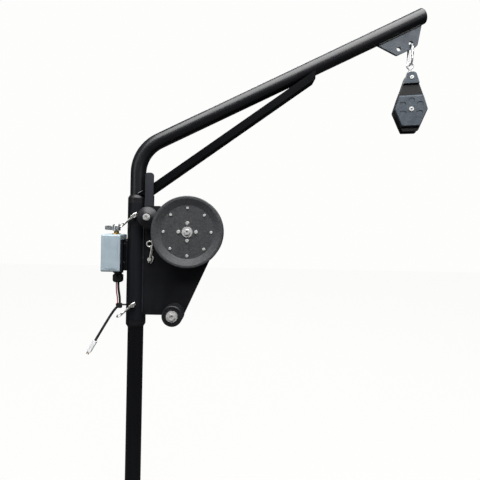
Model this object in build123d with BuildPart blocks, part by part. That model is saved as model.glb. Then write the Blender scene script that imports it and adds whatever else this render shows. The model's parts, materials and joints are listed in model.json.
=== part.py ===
from build123d import *
import math
import os

# A pole-mounted davit hoist with a powered line-hauling wheel.
# Frame: the mast stands on the origin with +Z up, the davit arm reaches along +X and the hauling
# wheel faces the front, -Y. Millimetres. Distances called "forward" are measured along -Y from
# the mast's centre plane.

# ---- driving dimensions ----
TUBE_OD = 48.3            # mast and davit arm, one size of pipe
TUBE_WALL = 3.2
BUSH_WALL = 2.1           # between the pipe and the sleeve's bore
SLEEVE_WALL = 3.9
SLEEVE_BOTTOM = 557       # height of the sleeve's lower end above the mast's foot
SLEEVE_LENGTH = 360
BUSH_FLANGE = 17          # straight part of a bush's flange
BUSH_CHAMFER = 8.5
BUSH_LINER = 24
FOOT_LINE = 40            # insertion mark: a turned groove above the mast's foot
FOOT_LINE_DEPTH = 0.5
ARM_RISE = 167            # from the sleeve's upper end to where leg and arm centrelines cross
ARM_BEND = 114            # centreline radius of the bend
ARM_ANGLE = 26.5          # slope of the arm above the horizontal
ARM_LENGTH = 989          # from the crossing of the centrelines to the open end of the tube
BRACE_HEIGHT = 22
BRACE_WALL = 2
BRACE_ANGLE = 36
BRACE_REACH = 548         # how far out the brace's upper end is cut
TIP_PLATE_THICK = 8
TIP_PLATE_DEPTH = 54.5    # below the underside of the arm
TIP_HOLE_RADIUS = 7

PIN_RADIUS = 6            # hitch pins
LOWER_PIN_INSET = 47.5    # from the sleeve's ends
UPPER_PIN_INSET = 39.6
CLIP_WIRE = 4             # wire diameter of a hairpin clip

PLATE_BACK = 10           # forward distance of the hauler plate's back face
PLATE_THICK = 8
WHEEL_Z = 831.6
WHEEL_OD = 215
WHEEL_WIDTH = 50
WHEEL_BACK = 26           # forward distance of the wheel's rear rim
POST_GAP = 3.5            # between the guide post and the wheel's rim
WHEEL_DISH = 8            # how far the disc lies inside the rim
DISC_RADIUS = 80
WHEEL_GROOVE = 57.5       # depth of the rope groove
RIM_SCREW_INSET = 8.8     # from the disc's edge to the ring of rim screws
HUB_SCREW_CIRCLE = 26
POST_X = 43
POST_WIDTH = 25.4
POST_THICK = 16
POST_RISE = 94            # above the sleeve's upper end
TOP_ROLLER_X = 44.5
TOP_ROLLER_Z = 874
ROLLER_RADIUS = 31
TOP_ROLLER_WIDTH = 27
BOLT_R = 5                # bolts that the rollers turn on
LOWER_ROLLER_X = 126
LOWER_ROLLER_Z = 580
LOWER_ROLLER_WIDTH = 50
SHAFT_RADIUS = 8

MOTOR_RADIUS = 36
MOTOR_LENGTH = 140
WORM_RADIUS = 8.5
WORM_WHEEL_RADIUS = 27
GEARBOX_HEIGHT = 100
GEARBOX_DEPTH = 62
GEARBOX_WALL = 5
GEARBOX_SCREW_RADIUS = 4

BOX_LEFT = -101.7         # switch box
BOX_RIGHT = -43
BOX_BOTTOM = 704
BOX_HEIGHT = 115
BOX_DEPTH = 70
BOX_WALL = 3.5
LEVER_X = -66
GLAND_X = -61
GLAND_Y = 8
GLAND_RADIUS = 16.5

HOOK_WIRE = 6.4           # wire diameter of the carabiner
HOOK_LENGTH = 70
HOOK_WIDTH = 36
BLOCK_YAW = 12            # the block has turned a little towards the mast on its swivel
BLOCK_THICK = 56
BLOCK_GAP = 24            # room between the cheeks
SHEAVE_RADIUS = 36
SHEAVE_GROOVE = 10

FIT = 0.05                # radial clearance of pins, shafts and bushes
LOOSE = 0.35              # clearance of parts that only hang in or pass one another

# ---- derived dimensions ----
TUBE_R = TUBE_OD / 2
SLEEVE_BORE = TUBE_R + BUSH_WALL
SLEEVE_R = SLEEVE_BORE + SLEEVE_WALL
SLEEVE_OD = 2 * SLEEVE_R
SLEEVE_TOP = SLEEVE_BOTTOM + SLEEVE_LENGTH
SLEEVE_MIDDLE = SLEEVE_BOTTOM + SLEEVE_LENGTH / 2
CROSSING = SLEEVE_TOP + ARM_RISE
LOWER_PIN_Z = SLEEVE_BOTTOM + LOWER_PIN_INSET
UPPER_PIN_Z = SLEEVE_TOP - UPPER_PIN_INSET
ARM_DIRECTION = Vector(math.cos(math.radians(ARM_ANGLE)), 0, math.sin(math.radians(ARM_ANGLE)))
TIP = Vector(0, 0, CROSSING) + ARM_DIRECTION * ARM_LENGTH
PLATE_FRONT = PLATE_BACK + PLATE_THICK
POST_FRONT = PLATE_FRONT + POST_THICK
POST_TOP = SLEEVE_TOP + POST_RISE
WHEEL_R = WHEEL_OD / 2
WHEEL_X = POST_X + POST_WIDTH / 2 + POST_GAP + WHEEL_R
WHEEL_FRONT = WHEEL_BACK + WHEEL_WIDTH
WHEEL_MIDDLE = WHEEL_BACK + WHEEL_WIDTH / 2
DISC_FRONT = WHEEL_FRONT - WHEEL_DISH
DISC_BACK = WHEEL_BACK + WHEEL_DISH
RIM_SCREW_CIRCLE = DISC_RADIUS - RIM_SCREW_INSET
BOX_TOP = BOX_BOTTOM + BOX_HEIGHT
GEARBOX_BOTTOM = WHEEL_Z - GEARBOX_HEIGHT / 2
GEARBOX_BACK = PLATE_BACK - GEARBOX_DEPTH
WORM_X = WHEEL_X - WORM_WHEEL_RADIUS - WORM_RADIUS - 2 * LOOSE
WORM_Y = MOTOR_RADIUS - PLATE_BACK + 2
MOTOR_BOTTOM = GEARBOX_BOTTOM - MOTOR_LENGTH

os.makedirs("parts", exist_ok=True)


def facing(x, z, forward):
    """A plane that faces the front, centred at x and z."""
    return Plane(origin=(x, -forward, z), x_dir=(1, 0, 0), z_dir=(0, -1, 0))


def radial(x, z):
    """A plane through an axis along Y, on which a point is (radius, forward)."""
    return Plane(origin=(x, 0, z), x_dir=(1, 0, 0), z_dir=(0, 0, -1))


def axis_at(x, z):
    return Axis((x, 0, z), (0, -1, 0))


def save(piece, name):
    piece.part.label = name
    export_step(piece.part, f"parts/{name}.step")


def cord_radii(points):
    """Bend radii of a cord: as large as the two runs beside each point allow."""
    places = [Vector(*point) for point in points]
    radii = []
    for before, here, after in zip(places, places[1:], places[2:]):
        run_in = here - before
        run_out = after - here
        turn = math.radians(run_in.get_angle(run_out))
        radii.append(0.45 * min(run_in.length, run_out.length) / math.tan(turn / 2))
    return radii


def cord(points, diameter, name):
    """A round cord along straight runs joined by tangent arcs."""
    radii = cord_radii(points)
    with BuildLine() as route:
        FilletPolyline(*points, radius=radii)
    line = route.wires()[0]
    with BuildPart() as piece:
        with BuildSketch(Plane(origin=line @ 0, z_dir=line % 0)):
            Circle(diameter / 2)
        sweep(path=line)
    save(piece, name)
    ratio = piece.part.volume / (math.pi * diameter**2 / 4 * line.length)
    rounded = [round(radius, 1) for radius in radii]
    print(f"{name}: length {line.length:.1f} mm, volume ratio {ratio:.4f}, radii {rounded}")
    return piece


# ---- mast, sleeve and bushes ----
with BuildPart() as mast_tube:
    with BuildSketch():
        Circle(TUBE_R)
        Circle(TUBE_R - TUBE_WALL, mode=Mode.SUBTRACT)
    extrude(amount=SLEEVE_MIDDLE)
    with BuildSketch(Plane.XY.offset(FOOT_LINE)):
        Circle(TUBE_R)
        Circle(TUBE_R - FOOT_LINE_DEPTH, mode=Mode.SUBTRACT)
    extrude(amount=1, mode=Mode.SUBTRACT)
    with BuildSketch(facing(0, LOWER_PIN_Z, 0)):
        Circle(PIN_RADIUS + FIT)
    extrude(amount=TUBE_OD, both=True, mode=Mode.SUBTRACT)
save(mast_tube, "mast_tube")

with BuildPart() as sleeve_tube:
    with BuildSketch(Plane.XY.offset(SLEEVE_BOTTOM)):
        Circle(SLEEVE_R)
        Circle(SLEEVE_BORE, mode=Mode.SUBTRACT)
    extrude(amount=SLEEVE_LENGTH)
    with BuildSketch(Plane.XZ):
        with Locations((0, LOWER_PIN_Z), (0, UPPER_PIN_Z)):
            Circle(PIN_RADIUS + FIT)
    extrude(amount=SLEEVE_OD, both=True, mode=Mode.SUBTRACT)
save(sleeve_tube, "sleeve_tube")


def flanged_bush(seam, outward):
    """A plastic bush whose liner lies in the sleeve; outward is +1 at the top and -1 below."""
    bore = TUBE_R + FIT
    with BuildPart() as bush:
        with BuildSketch(Plane.XZ):
            with BuildLine():
                Polyline(
                    (bore, seam - outward * BUSH_LINER),
                    (SLEEVE_BORE, seam - outward * BUSH_LINER),
                    (SLEEVE_BORE, seam),
                    (SLEEVE_R, seam),
                    (SLEEVE_R, seam + outward * BUSH_FLANGE),
                    (bore + 1, seam + outward * (BUSH_FLANGE + BUSH_CHAMFER)),
                    (bore, seam + outward * (BUSH_FLANGE + BUSH_CHAMFER)),
                    close=True,
                )
            make_face()
        revolve(axis=Axis.Z)
    return bush


upper_bush = flanged_bush(SLEEVE_TOP, 1)
save(upper_bush, "upper_bush")
lower_bush = flanged_bush(SLEEVE_BOTTOM, -1)
save(lower_bush, "lower_bush")

# ---- davit arm: leg, bend and straight reach ----
with BuildLine(Plane.XZ) as arm_route:
    FilletPolyline(
        (0, SLEEVE_MIDDLE),
        (0, CROSSING),
        (TIP.X, TIP.Z),
        radius=ARM_BEND,
    )

with BuildPart() as arm_envelope:
    with BuildSketch(Plane.XY.offset(SLEEVE_MIDDLE)):
        Circle(TUBE_R)
    sweep(path=arm_route.line)

with BuildPart() as davit_arm:
    with BuildSketch(Plane.XY.offset(SLEEVE_MIDDLE)):
        Circle(TUBE_R)
        Circle(TUBE_R - TUBE_WALL, mode=Mode.SUBTRACT)
    sweep(path=arm_route.line)
    with BuildSketch(facing(0, UPPER_PIN_Z, 0)):
        Circle(PIN_RADIUS + FIT)
    extrude(amount=TUBE_OD, both=True, mode=Mode.SUBTRACT)
save(davit_arm, "davit_arm")

# The end cap is a domed plastic plug.
CAP_HEIGHT = 3
CAP_PLUG = 16
with BuildPart() as arm_end_cap:
    with BuildSketch(Plane(origin=TIP, x_dir=(0, 1, 0), z_dir=ARM_DIRECTION)):
        Circle(TUBE_R)
    extrude(amount=CAP_HEIGHT)
    fillet(arm_end_cap.faces().sort_by(Axis((0, 0, 0), ARM_DIRECTION))[-1].edges(), 0.9 * CAP_HEIGHT)
    with BuildSketch(Plane(origin=TIP, x_dir=(0, 1, 0), z_dir=-ARM_DIRECTION)):
        Circle(TUBE_R - TUBE_WALL - FIT)
        Circle(TUBE_R - TUBE_WALL - 3, mode=Mode.SUBTRACT)
    extrude(amount=CAP_PLUG)
save(arm_end_cap, "arm_end_cap")

# The brace is a flat-walled tube a little wider than the pipe, coped round leg and arm. Its lower
# end is cut level, just above the upper bush.
BRACE_WIDTH = TUBE_OD + 2.5
BRACE_DIRECTION = Vector(math.cos(math.radians(BRACE_ANGLE)), 0, math.sin(math.radians(BRACE_ANGLE)))
BRACE_FOOT = SLEEVE_TOP + BUSH_FLANGE + BUSH_CHAMFER + 1
BRACE_START_Z = BRACE_FOOT - 15.7       # height of the brace's centreline on the mast axis
BRACE_RUN = BRACE_REACH / math.cos(math.radians(BRACE_ANGLE))
with BuildPart() as arm_brace:
    with BuildSketch(
        Plane(origin=(0, 0, BRACE_START_Z), x_dir=(0, 1, 0), z_dir=BRACE_DIRECTION)
    ):
        Rectangle(BRACE_WIDTH, BRACE_HEIGHT)
        Rectangle(BRACE_WIDTH - 2 * BRACE_WALL, BRACE_HEIGHT - 2 * BRACE_WALL, mode=Mode.SUBTRACT)
    extrude(amount=BRACE_RUN + BRACE_HEIGHT)
    split(bisect_by=Plane(origin=(0, 0, BRACE_FOOT), z_dir=(0, 0, 1)), keep=Keep.TOP)
    split(bisect_by=Plane(origin=(BRACE_REACH, 0, 0), z_dir=(1, 0, 0)), keep=Keep.BOTTOM)
    add(arm_envelope.part, mode=Mode.SUBTRACT)
save(arm_brace, "arm_brace")

# ---- tip plate: two rigging holes under the arm's end ----
TIP_PLANE = Plane(origin=TIP, x_dir=ARM_DIRECTION, z_dir=(0, -1, 0))
TIP_ROW = -TUBE_R - TIP_PLATE_DEPTH + 15.5    # the holes' line, in the arm's own frame
TIP_HOLES = [(-112, TIP_ROW), (-69.7, TIP_ROW)]
with BuildPart() as tip_plate:
    with BuildSketch(TIP_PLANE) as tip_outline:
        with BuildLine():
            Polyline(
                (-174, 0),
                (-166.6, -TUBE_R),
                (-125.6, -TUBE_R - TIP_PLATE_DEPTH),
                (-54.2, -TUBE_R - TIP_PLATE_DEPTH),
                (-13.4, -TUBE_R),
                (-13.4, 0),
                close=True,
            )
        make_face()
        fillet(tip_outline.vertices().group_by(Axis.Y)[0], 9)
        with Locations(*TIP_HOLES):
            Circle(TIP_HOLE_RADIUS, mode=Mode.SUBTRACT)
    extrude(amount=TIP_PLATE_THICK / 2, both=True)
    add(arm_envelope.part, mode=Mode.SUBTRACT)
save(tip_plate, "tip_plate")

# ---- hauler plate: welded to the front right of the sleeve ----
PLATE_TOP = SLEEVE_TOP - 10
PLATE_BOTTOM = SLEEVE_BOTTOM + 14
CORNER_RADIUS = 28.5      # lobe round the lower roller's bolt
EDGE_ANGLE = 65.8         # slope of the right-hand edge
edge_along = Vector(math.cos(math.radians(EDGE_ANGLE)), math.sin(math.radians(EDGE_ANGLE)))
edge_out = Vector(edge_along.Y, -edge_along.X)
corner_centre = Vector(LOWER_ROLLER_X, LOWER_ROLLER_Z)
edge_foot = corner_centre + edge_out * CORNER_RADIUS
edge_head = edge_foot + edge_along * ((WHEEL_Z - 68 - edge_foot.Y) / edge_along.Y)
PLATE_PIN_X = 46
PLATE_PIN_Z = 744
GEARBOX_SCREW_CIRCLE = 38
with BuildPart() as hauler_plate:
    with BuildSketch(Plane.XZ.offset(PLATE_BACK)):
        with BuildLine():
            Polyline(
                (0, PLATE_BOTTOM),
                (LOWER_ROLLER_X, PLATE_BOTTOM),
                (edge_foot.X, edge_foot.Y),
                (edge_head.X, edge_head.Y),
                (edge_head.X, PLATE_TOP - 27),
                (edge_head.X - 27, PLATE_TOP),
                (0, PLATE_TOP),
                close=True,
            )
        make_face()
        with Locations((LOWER_ROLLER_X, LOWER_ROLLER_Z)):
            Circle(CORNER_RADIUS)
        with Locations((WHEEL_X, WHEEL_Z)):
            Circle(SHAFT_RADIUS + 3, mode=Mode.SUBTRACT)
            with PolarLocations(GEARBOX_SCREW_CIRCLE, 4, start_angle=45):
                Circle(GEARBOX_SCREW_RADIUS + FIT, mode=Mode.SUBTRACT)
        with Locations((TOP_ROLLER_X, TOP_ROLLER_Z), (LOWER_ROLLER_X, LOWER_ROLLER_Z)):
            Circle(BOLT_R + FIT, mode=Mode.SUBTRACT)
        with Locations((PLATE_PIN_X, PLATE_PIN_Z)):
            Circle(PIN_RADIUS + FIT, mode=Mode.SUBTRACT)
    extrude(amount=PLATE_THICK)
    with BuildSketch(Plane.XY.offset(SLEEVE_BOTTOM)):
        Circle(SLEEVE_R)
    extrude(amount=SLEEVE_LENGTH, mode=Mode.SUBTRACT)
    with BuildSketch(Plane.XY.offset(SLEEVE_BOTTOM)):
        Rectangle(SLEEVE_R, SLEEVE_OD, align=(Align.MAX, Align.CENTER))
    extrude(amount=SLEEVE_LENGTH, mode=Mode.SUBTRACT)
save(hauler_plate, "hauler_plate")

# ---- guide post: a round-topped bar in front of the plate, relieved behind for the brace ----
POST_BOTTOM = TOP_ROLLER_Z - 37
with BuildPart() as guide_post:
    with BuildSketch(Plane.XZ.offset(PLATE_FRONT)) as post_outline:
        with Locations((POST_X, (POST_BOTTOM + POST_TOP) / 2)):
            Rectangle(POST_WIDTH, POST_TOP - POST_BOTTOM)
        fillet(post_outline.vertices().group_by(Axis.Y)[-1], 0.35 * POST_WIDTH)
        with Locations((TOP_ROLLER_X, TOP_ROLLER_Z)):
            Circle(BOLT_R + FIT, mode=Mode.SUBTRACT)
    extrude(amount=POST_THICK)
    with BuildSketch(Plane.XZ.offset(PLATE_FRONT)):
        with Locations((POST_X, BRACE_FOOT - 2)):
            Rectangle(POST_WIDTH, POST_TOP, align=(Align.CENTER, Align.MIN))
    extrude(amount=BRACE_WIDTH / 2 + 2 * LOOSE - PLATE_FRONT, mode=Mode.SUBTRACT)
save(guide_post, "guide_post")

# ---- line stripper: a thin blade clamped behind the top roller, reaching into the groove ----
STRIPPER_THICK = 3
with BuildPart() as line_stripper:
    with BuildSketch(Plane.XZ.offset(POST_FRONT)) as blade_outline:
        with BuildLine():
            Polyline(
                (TOP_ROLLER_X - 11, TOP_ROLLER_Z - 12),
                (TOP_ROLLER_X + 10, TOP_ROLLER_Z - 12),
                (TOP_ROLLER_X + 38, TOP_ROLLER_Z + 19),
                (TOP_ROLLER_X + 35, TOP_ROLLER_Z + 35),
                (TOP_ROLLER_X - 11, TOP_ROLLER_Z + 35),
                close=True,
            )
        make_face()
        fillet(blade_outline.vertices(), 2)
        with Locations((TOP_ROLLER_X, TOP_ROLLER_Z)):
            Circle(BOLT_R + FIT, mode=Mode.SUBTRACT)
    extrude(amount=STRIPPER_THICK)
save(line_stripper, "line_stripper")

# ---- hitch pins: two lock mast, sleeve and arm together, one is parked in the plate ----
PIN_HOLE = CLIP_WIRE / 2 + 0.1
PIN_TAIL = 4.5            # from the clip's hole to the pin's end
PIN_STAND = 8.5           # from the last surface to the clip's hole
PIN_HEAD_RADIUS = 9.5
PIN_HEAD = 6


def clip_direction(angle):
    return Vector(math.cos(math.radians(angle)), 0, math.sin(math.radians(angle)))


# The sleeve's clips hang down to the left, turned towards the viewer. The plate's clip stands
# almost upright with its eye to the left and its waved leg to the right of the pin.
sleeve_clip = (222, 68, 5)
plate_clip = (80, 180, -2.5)
pin_places = [
    (0, LOWER_PIN_Z, SLEEVE_R, SLEEVE_R + PIN_STAND, sleeve_clip),
    (0, UPPER_PIN_Z, SLEEVE_R, SLEEVE_R + PIN_STAND, sleeve_clip),
    (PLATE_PIN_X, PLATE_PIN_Z, -PLATE_BACK, PLATE_FRONT + PIN_STAND, plate_clip),
]
with BuildPart() as hitch_pins:
    for x, z, behind, hole, clip in pin_places:
        with BuildSketch(facing(x, z, -behind)):
            Circle(PIN_RADIUS)
        extrude(amount=behind + hole + PIN_TAIL)
        with BuildSketch(facing(x, z, -behind)):
            Circle(PIN_HEAD_RADIUS)
        extrude(amount=-PIN_HEAD)
        along = clip_direction(clip[0])
        with BuildSketch(Plane(origin=(x, -hole, z), z_dir=along)):
            Circle(PIN_HOLE)
        extrude(amount=2 * PIN_RADIUS, both=True, mode=Mode.SUBTRACT)
save(hitch_pins, "hitch_pins")

# ---- hairpin clips: an eye, a straight leg through the pin and a waved leg round it ----
CLIP_EYE = 8.5            # centreline radius of the eye
CLIP_REACH = 47           # from the eye to the pin
CLIP_END = 10             # how far the straight leg goes past the pin
with BuildPart() as hairpin_clips:
    for x, z, behind, hole, (angle, turn, waist) in pin_places:
        along = clip_direction(angle)
        turned = math.radians(turn)
        side = Vector(along.Z, 0, -along.X) * math.cos(turned) + Vector(0, -1, 0) * math.sin(turned)
        eye = Vector(x, -hole, z) + along * CLIP_REACH
        clip_plane = Plane(origin=eye, x_dir=-along, z_dir=(-along).cross(side))
        with BuildLine(clip_plane) as straight_leg:
            Line((0, 0), (CLIP_REACH + CLIP_END, 0))
        with BuildSketch(Plane(origin=eye, z_dir=-along)):
            Circle(CLIP_WIRE / 2)
        sweep(path=straight_leg.line)
        # A leg that crosses the straight one passes behind it.
        depth = 0 if waist > 0 else 1.35 * CLIP_WIRE
        bulge = math.copysign(PIN_RADIUS + CLIP_WIRE / 2 + 1.5, waist)
        with BuildLine(clip_plane) as waved_leg:
            FilletPolyline(
                (CLIP_EYE, CLIP_EYE, 0),
                (0.35 * CLIP_REACH, waist, depth),
                (CLIP_REACH - 13, waist, depth),
                (CLIP_REACH - 6, bulge, depth),
                (CLIP_REACH + 4, bulge, depth),
                (CLIP_REACH + 12, 0.45 * bulge, depth),
                radius=3,
            )
        with BuildSketch(Plane(origin=waved_leg.line @ 0, z_dir=waved_leg.line % 0)):
            Circle(CLIP_WIRE / 2)
        sweep(path=waved_leg.line)
        ring_centre = eye + side * CLIP_EYE
        with BuildLine(Plane(origin=ring_centre, x_dir=side, z_dir=clip_plane.z_dir)) as ring:
            CenterArc((0, 0), CLIP_EYE, 0, 360)
        with BuildSketch(Plane(origin=ring_centre + side * CLIP_EYE, z_dir=along)):
            Circle(CLIP_WIRE / 2)
        sweep(path=ring.line)
save(hairpin_clips, "hairpin_clips")

# ---- hauling wheel: two dished flanges that make a V-shaped groove ----
GROOVE_FLOOR = WHEEL_R - WHEEL_GROOVE
HUB_BORE = 14
SCREW_R = 2.5
HUB_SCREW_R = 3.5


def wheel_flange(back_to_front):
    """One flange; back_to_front is +1 for the front one and -1 for its mirror image."""
    middle = WHEEL_MIDDLE
    rim = WHEEL_WIDTH / 2
    with BuildPart() as flange:
        with BuildSketch(radial(WHEEL_X, WHEEL_Z)):
            with BuildLine():
                Polyline(
                    (HUB_BORE + FIT, middle),
                    (GROOVE_FLOOR, middle),
                    (WHEEL_R - 3, middle + back_to_front * (rim - 6)),
                    (WHEEL_R, middle + back_to_front * (rim - 4)),
                    (WHEEL_R, middle + back_to_front * (rim - 2.5)),
                    (WHEEL_R - 2.5, middle + back_to_front * rim),
                    (WHEEL_R - 8, middle + back_to_front * rim),
                    (DISC_RADIUS, middle + back_to_front * (rim - WHEEL_DISH)),
                    (HUB_BORE + FIT, middle + back_to_front * (rim - WHEEL_DISH)),
                    close=True,
                )
            make_face()
        revolve(axis=axis_at(WHEEL_X, WHEEL_Z))
        with BuildSketch(facing(WHEEL_X, WHEEL_Z, 0)):
            with PolarLocations(RIM_SCREW_CIRCLE, 8):
                Circle(SCREW_R + FIT)
            with PolarLocations(HUB_SCREW_CIRCLE, 4):
                Circle(HUB_SCREW_R + FIT)
        extrude(amount=WHEEL_FRONT + 1, mode=Mode.SUBTRACT)
    return flange


wheel_front_flange = wheel_flange(1)
save(wheel_front_flange, "wheel_front_flange")
wheel_rear_flange = wheel_flange(-1)
save(wheel_rear_flange, "wheel_rear_flange")

HUB_FLANGE = 6
HUB_BACK = PLATE_FRONT + 3
with BuildPart() as wheel_hub:
    with BuildSketch(facing(WHEEL_X, WHEEL_Z, HUB_BACK)):
        Circle(20)
    extrude(amount=DISC_BACK - HUB_FLANGE - HUB_BACK)
    with BuildSketch(facing(WHEEL_X, WHEEL_Z, DISC_BACK - HUB_FLANGE)):
        Circle(32)
    extrude(amount=HUB_FLANGE)
    with BuildSketch(facing(WHEEL_X, WHEEL_Z, DISC_BACK)):
        Circle(HUB_BORE)
    extrude(amount=DISC_FRONT - 2 - DISC_BACK)
    with BuildSketch(facing(WHEEL_X, WHEEL_Z, 0)):
        Circle(SHAFT_RADIUS + FIT)
        with PolarLocations(HUB_SCREW_CIRCLE, 4):
            Circle(HUB_SCREW_R + FIT)
    extrude(amount=WHEEL_FRONT, mode=Mode.SUBTRACT)
save(wheel_hub, "wheel_hub")

with BuildPart() as rim_screws:
    with BuildSketch(facing(WHEEL_X, WHEEL_Z, DISC_BACK)):
        with PolarLocations(RIM_SCREW_CIRCLE, 8):
            Circle(SCREW_R)
    extrude(amount=DISC_FRONT - DISC_BACK)
    with BuildSketch(facing(WHEEL_X, WHEEL_Z, DISC_FRONT)):
        with PolarLocations(RIM_SCREW_CIRCLE, 8):
            Circle(4.6)
    extrude(amount=2.6, taper=25)
    with BuildSketch(facing(WHEEL_X, WHEEL_Z, DISC_BACK)):
        with PolarLocations(RIM_SCREW_CIRCLE, 8):
            RegularPolygon(4.6, 6)
    extrude(amount=-4)
save(rim_screws, "rim_screws")

with BuildPart() as hub_screws:
    with BuildSketch(facing(WHEEL_X, WHEEL_Z, DISC_BACK - HUB_FLANGE)):
        with PolarLocations(HUB_SCREW_CIRCLE, 4):
            Circle(HUB_SCREW_R)
    extrude(amount=DISC_FRONT - DISC_BACK + HUB_FLANGE)
    with BuildSketch(facing(WHEEL_X, WHEEL_Z, DISC_FRONT)):
        with PolarLocations(HUB_SCREW_CIRCLE, 4):
            Circle(6)
    extrude(amount=3.4, taper=25)
save(hub_screws, "hub_screws")

WASHER_THICK = 2.5
with BuildPart() as hub_washer:
    with BuildSketch(facing(WHEEL_X, WHEEL_Z, DISC_FRONT)):
        Circle(16)
        Circle(4 + FIT, mode=Mode.SUBTRACT)
    extrude(amount=WASHER_THICK)
save(hub_washer, "hub_washer")

HUB_BOLT_FRONT = DISC_FRONT + WASHER_THICK
with BuildPart() as hub_bolt:
    with BuildSketch(facing(WHEEL_X, WHEEL_Z, HUB_BOLT_FRONT)):
        Circle(8.5)
    extrude(amount=5)
    chamfer(hub_bolt.faces().sort_by(Axis.Y)[0].edges(), 1)
    with BuildSketch(facing(WHEEL_X, WHEEL_Z, HUB_BOLT_FRONT + 5)):
        RegularPolygon(4, 6)
    extrude(amount=-3, mode=Mode.SUBTRACT)
    with BuildSketch(facing(WHEEL_X, WHEEL_Z, HUB_BOLT_FRONT)):
        Circle(4)
    extrude(amount=-22)
save(hub_bolt, "hub_bolt")

# ---- drive: shaft, bearings, worm gear and motor behind the plate ----
SHAFT_FRONT = DISC_FRONT - 4
SHAFT_BACK = GEARBOX_BACK + GEARBOX_WALL
with BuildPart() as drive_shaft:
    with BuildSketch(facing(WHEEL_X, WHEEL_Z, SHAFT_BACK)):
        Circle(SHAFT_RADIUS)
    extrude(amount=SHAFT_FRONT - SHAFT_BACK)
    with BuildSketch(facing(WHEEL_X, WHEEL_Z, SHAFT_FRONT)):
        Circle(4 + FIT)
    extrude(amount=-20, mode=Mode.SUBTRACT)
save(drive_shaft, "drive_shaft")

BEARING_RADIUS = 16
BEARING_WIDTH = 9
with BuildPart() as shaft_bearings:
    for back in (PLATE_BACK - BEARING_WIDTH, GEARBOX_BACK + GEARBOX_WALL):
        with BuildSketch(facing(WHEEL_X, WHEEL_Z, back)):
            Circle(BEARING_RADIUS)
            Circle(SHAFT_RADIUS + FIT, mode=Mode.SUBTRACT)
        extrude(amount=BEARING_WIDTH)
save(shaft_bearings, "shaft_bearings")

WORM_WHEEL_WIDTH = 16
WORM_TEETH = 30
with BuildPart() as worm_wheel:
    with BuildSketch(facing(WHEEL_X, WHEEL_Z, -WORM_Y - WORM_WHEEL_WIDTH / 2)):
        Circle(WORM_WHEEL_RADIUS)
        Circle(SHAFT_RADIUS, mode=Mode.SUBTRACT)
        with PolarLocations(WORM_WHEEL_RADIUS, WORM_TEETH):
            Rectangle(4, 2.4, mode=Mode.SUBTRACT)
    extrude(amount=WORM_WHEEL_WIDTH)
save(worm_wheel, "worm_wheel")

MOTOR_WALL = 3
ARMATURE_RADIUS = 22
MOTOR_SHAFT_RADIUS = 5
worm_bottom = WHEEL_Z - 20
with BuildPart() as motor_armature:
    with BuildSketch(Plane(origin=(WORM_X, WORM_Y, MOTOR_BOTTOM + 1))):
        Circle(MOTOR_SHAFT_RADIUS)
    extrude(amount=WHEEL_Z + 40 - MOTOR_BOTTOM)
    with BuildSketch(Plane(origin=(WORM_X, WORM_Y, MOTOR_BOTTOM + 30))):
        Circle(ARMATURE_RADIUS)
        with PolarLocations(ARMATURE_RADIUS, 12):
            Rectangle(5, 2, mode=Mode.SUBTRACT)
    extrude(amount=MOTOR_LENGTH - 60)
    for turn in range(6):
        with BuildSketch(Plane(origin=(WORM_X, WORM_Y, worm_bottom + 7 * turn))):
            Circle(WORM_RADIUS)
        extrude(amount=4)
save(motor_armature, "motor_armature")

with BuildPart() as motor_can:
    with BuildSketch(Plane(origin=(WORM_X, WORM_Y, MOTOR_BOTTOM))):
        Circle(MOTOR_RADIUS)
        Circle(MOTOR_RADIUS - MOTOR_WALL, mode=Mode.SUBTRACT)
    extrude(amount=MOTOR_LENGTH)
    with BuildSketch(Plane(origin=(WORM_X, WORM_Y, GEARBOX_BOTTOM))):
        Circle(MOTOR_RADIUS)
        Circle(MOTOR_SHAFT_RADIUS + FIT, mode=Mode.SUBTRACT)
    extrude(amount=-MOTOR_WALL)
save(motor_can, "motor_can")

MOTOR_GLAND_X = WORM_X - 16
MOTOR_GLAND_LENGTH = 12
with BuildPart() as motor_end_cap:
    with BuildSketch(Plane(origin=(WORM_X, WORM_Y, MOTOR_BOTTOM))):
        Circle(MOTOR_RADIUS)
    extrude(amount=-8)
    fillet(motor_end_cap.faces().sort_by(Axis.Z)[0].edges(), 5)
    with BuildSketch(Plane(origin=(MOTOR_GLAND_X, WORM_Y, MOTOR_BOTTOM - 8))):
        Circle(7)
    extrude(amount=-MOTOR_GLAND_LENGTH)
save(motor_end_cap, "motor_end_cap")

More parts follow.
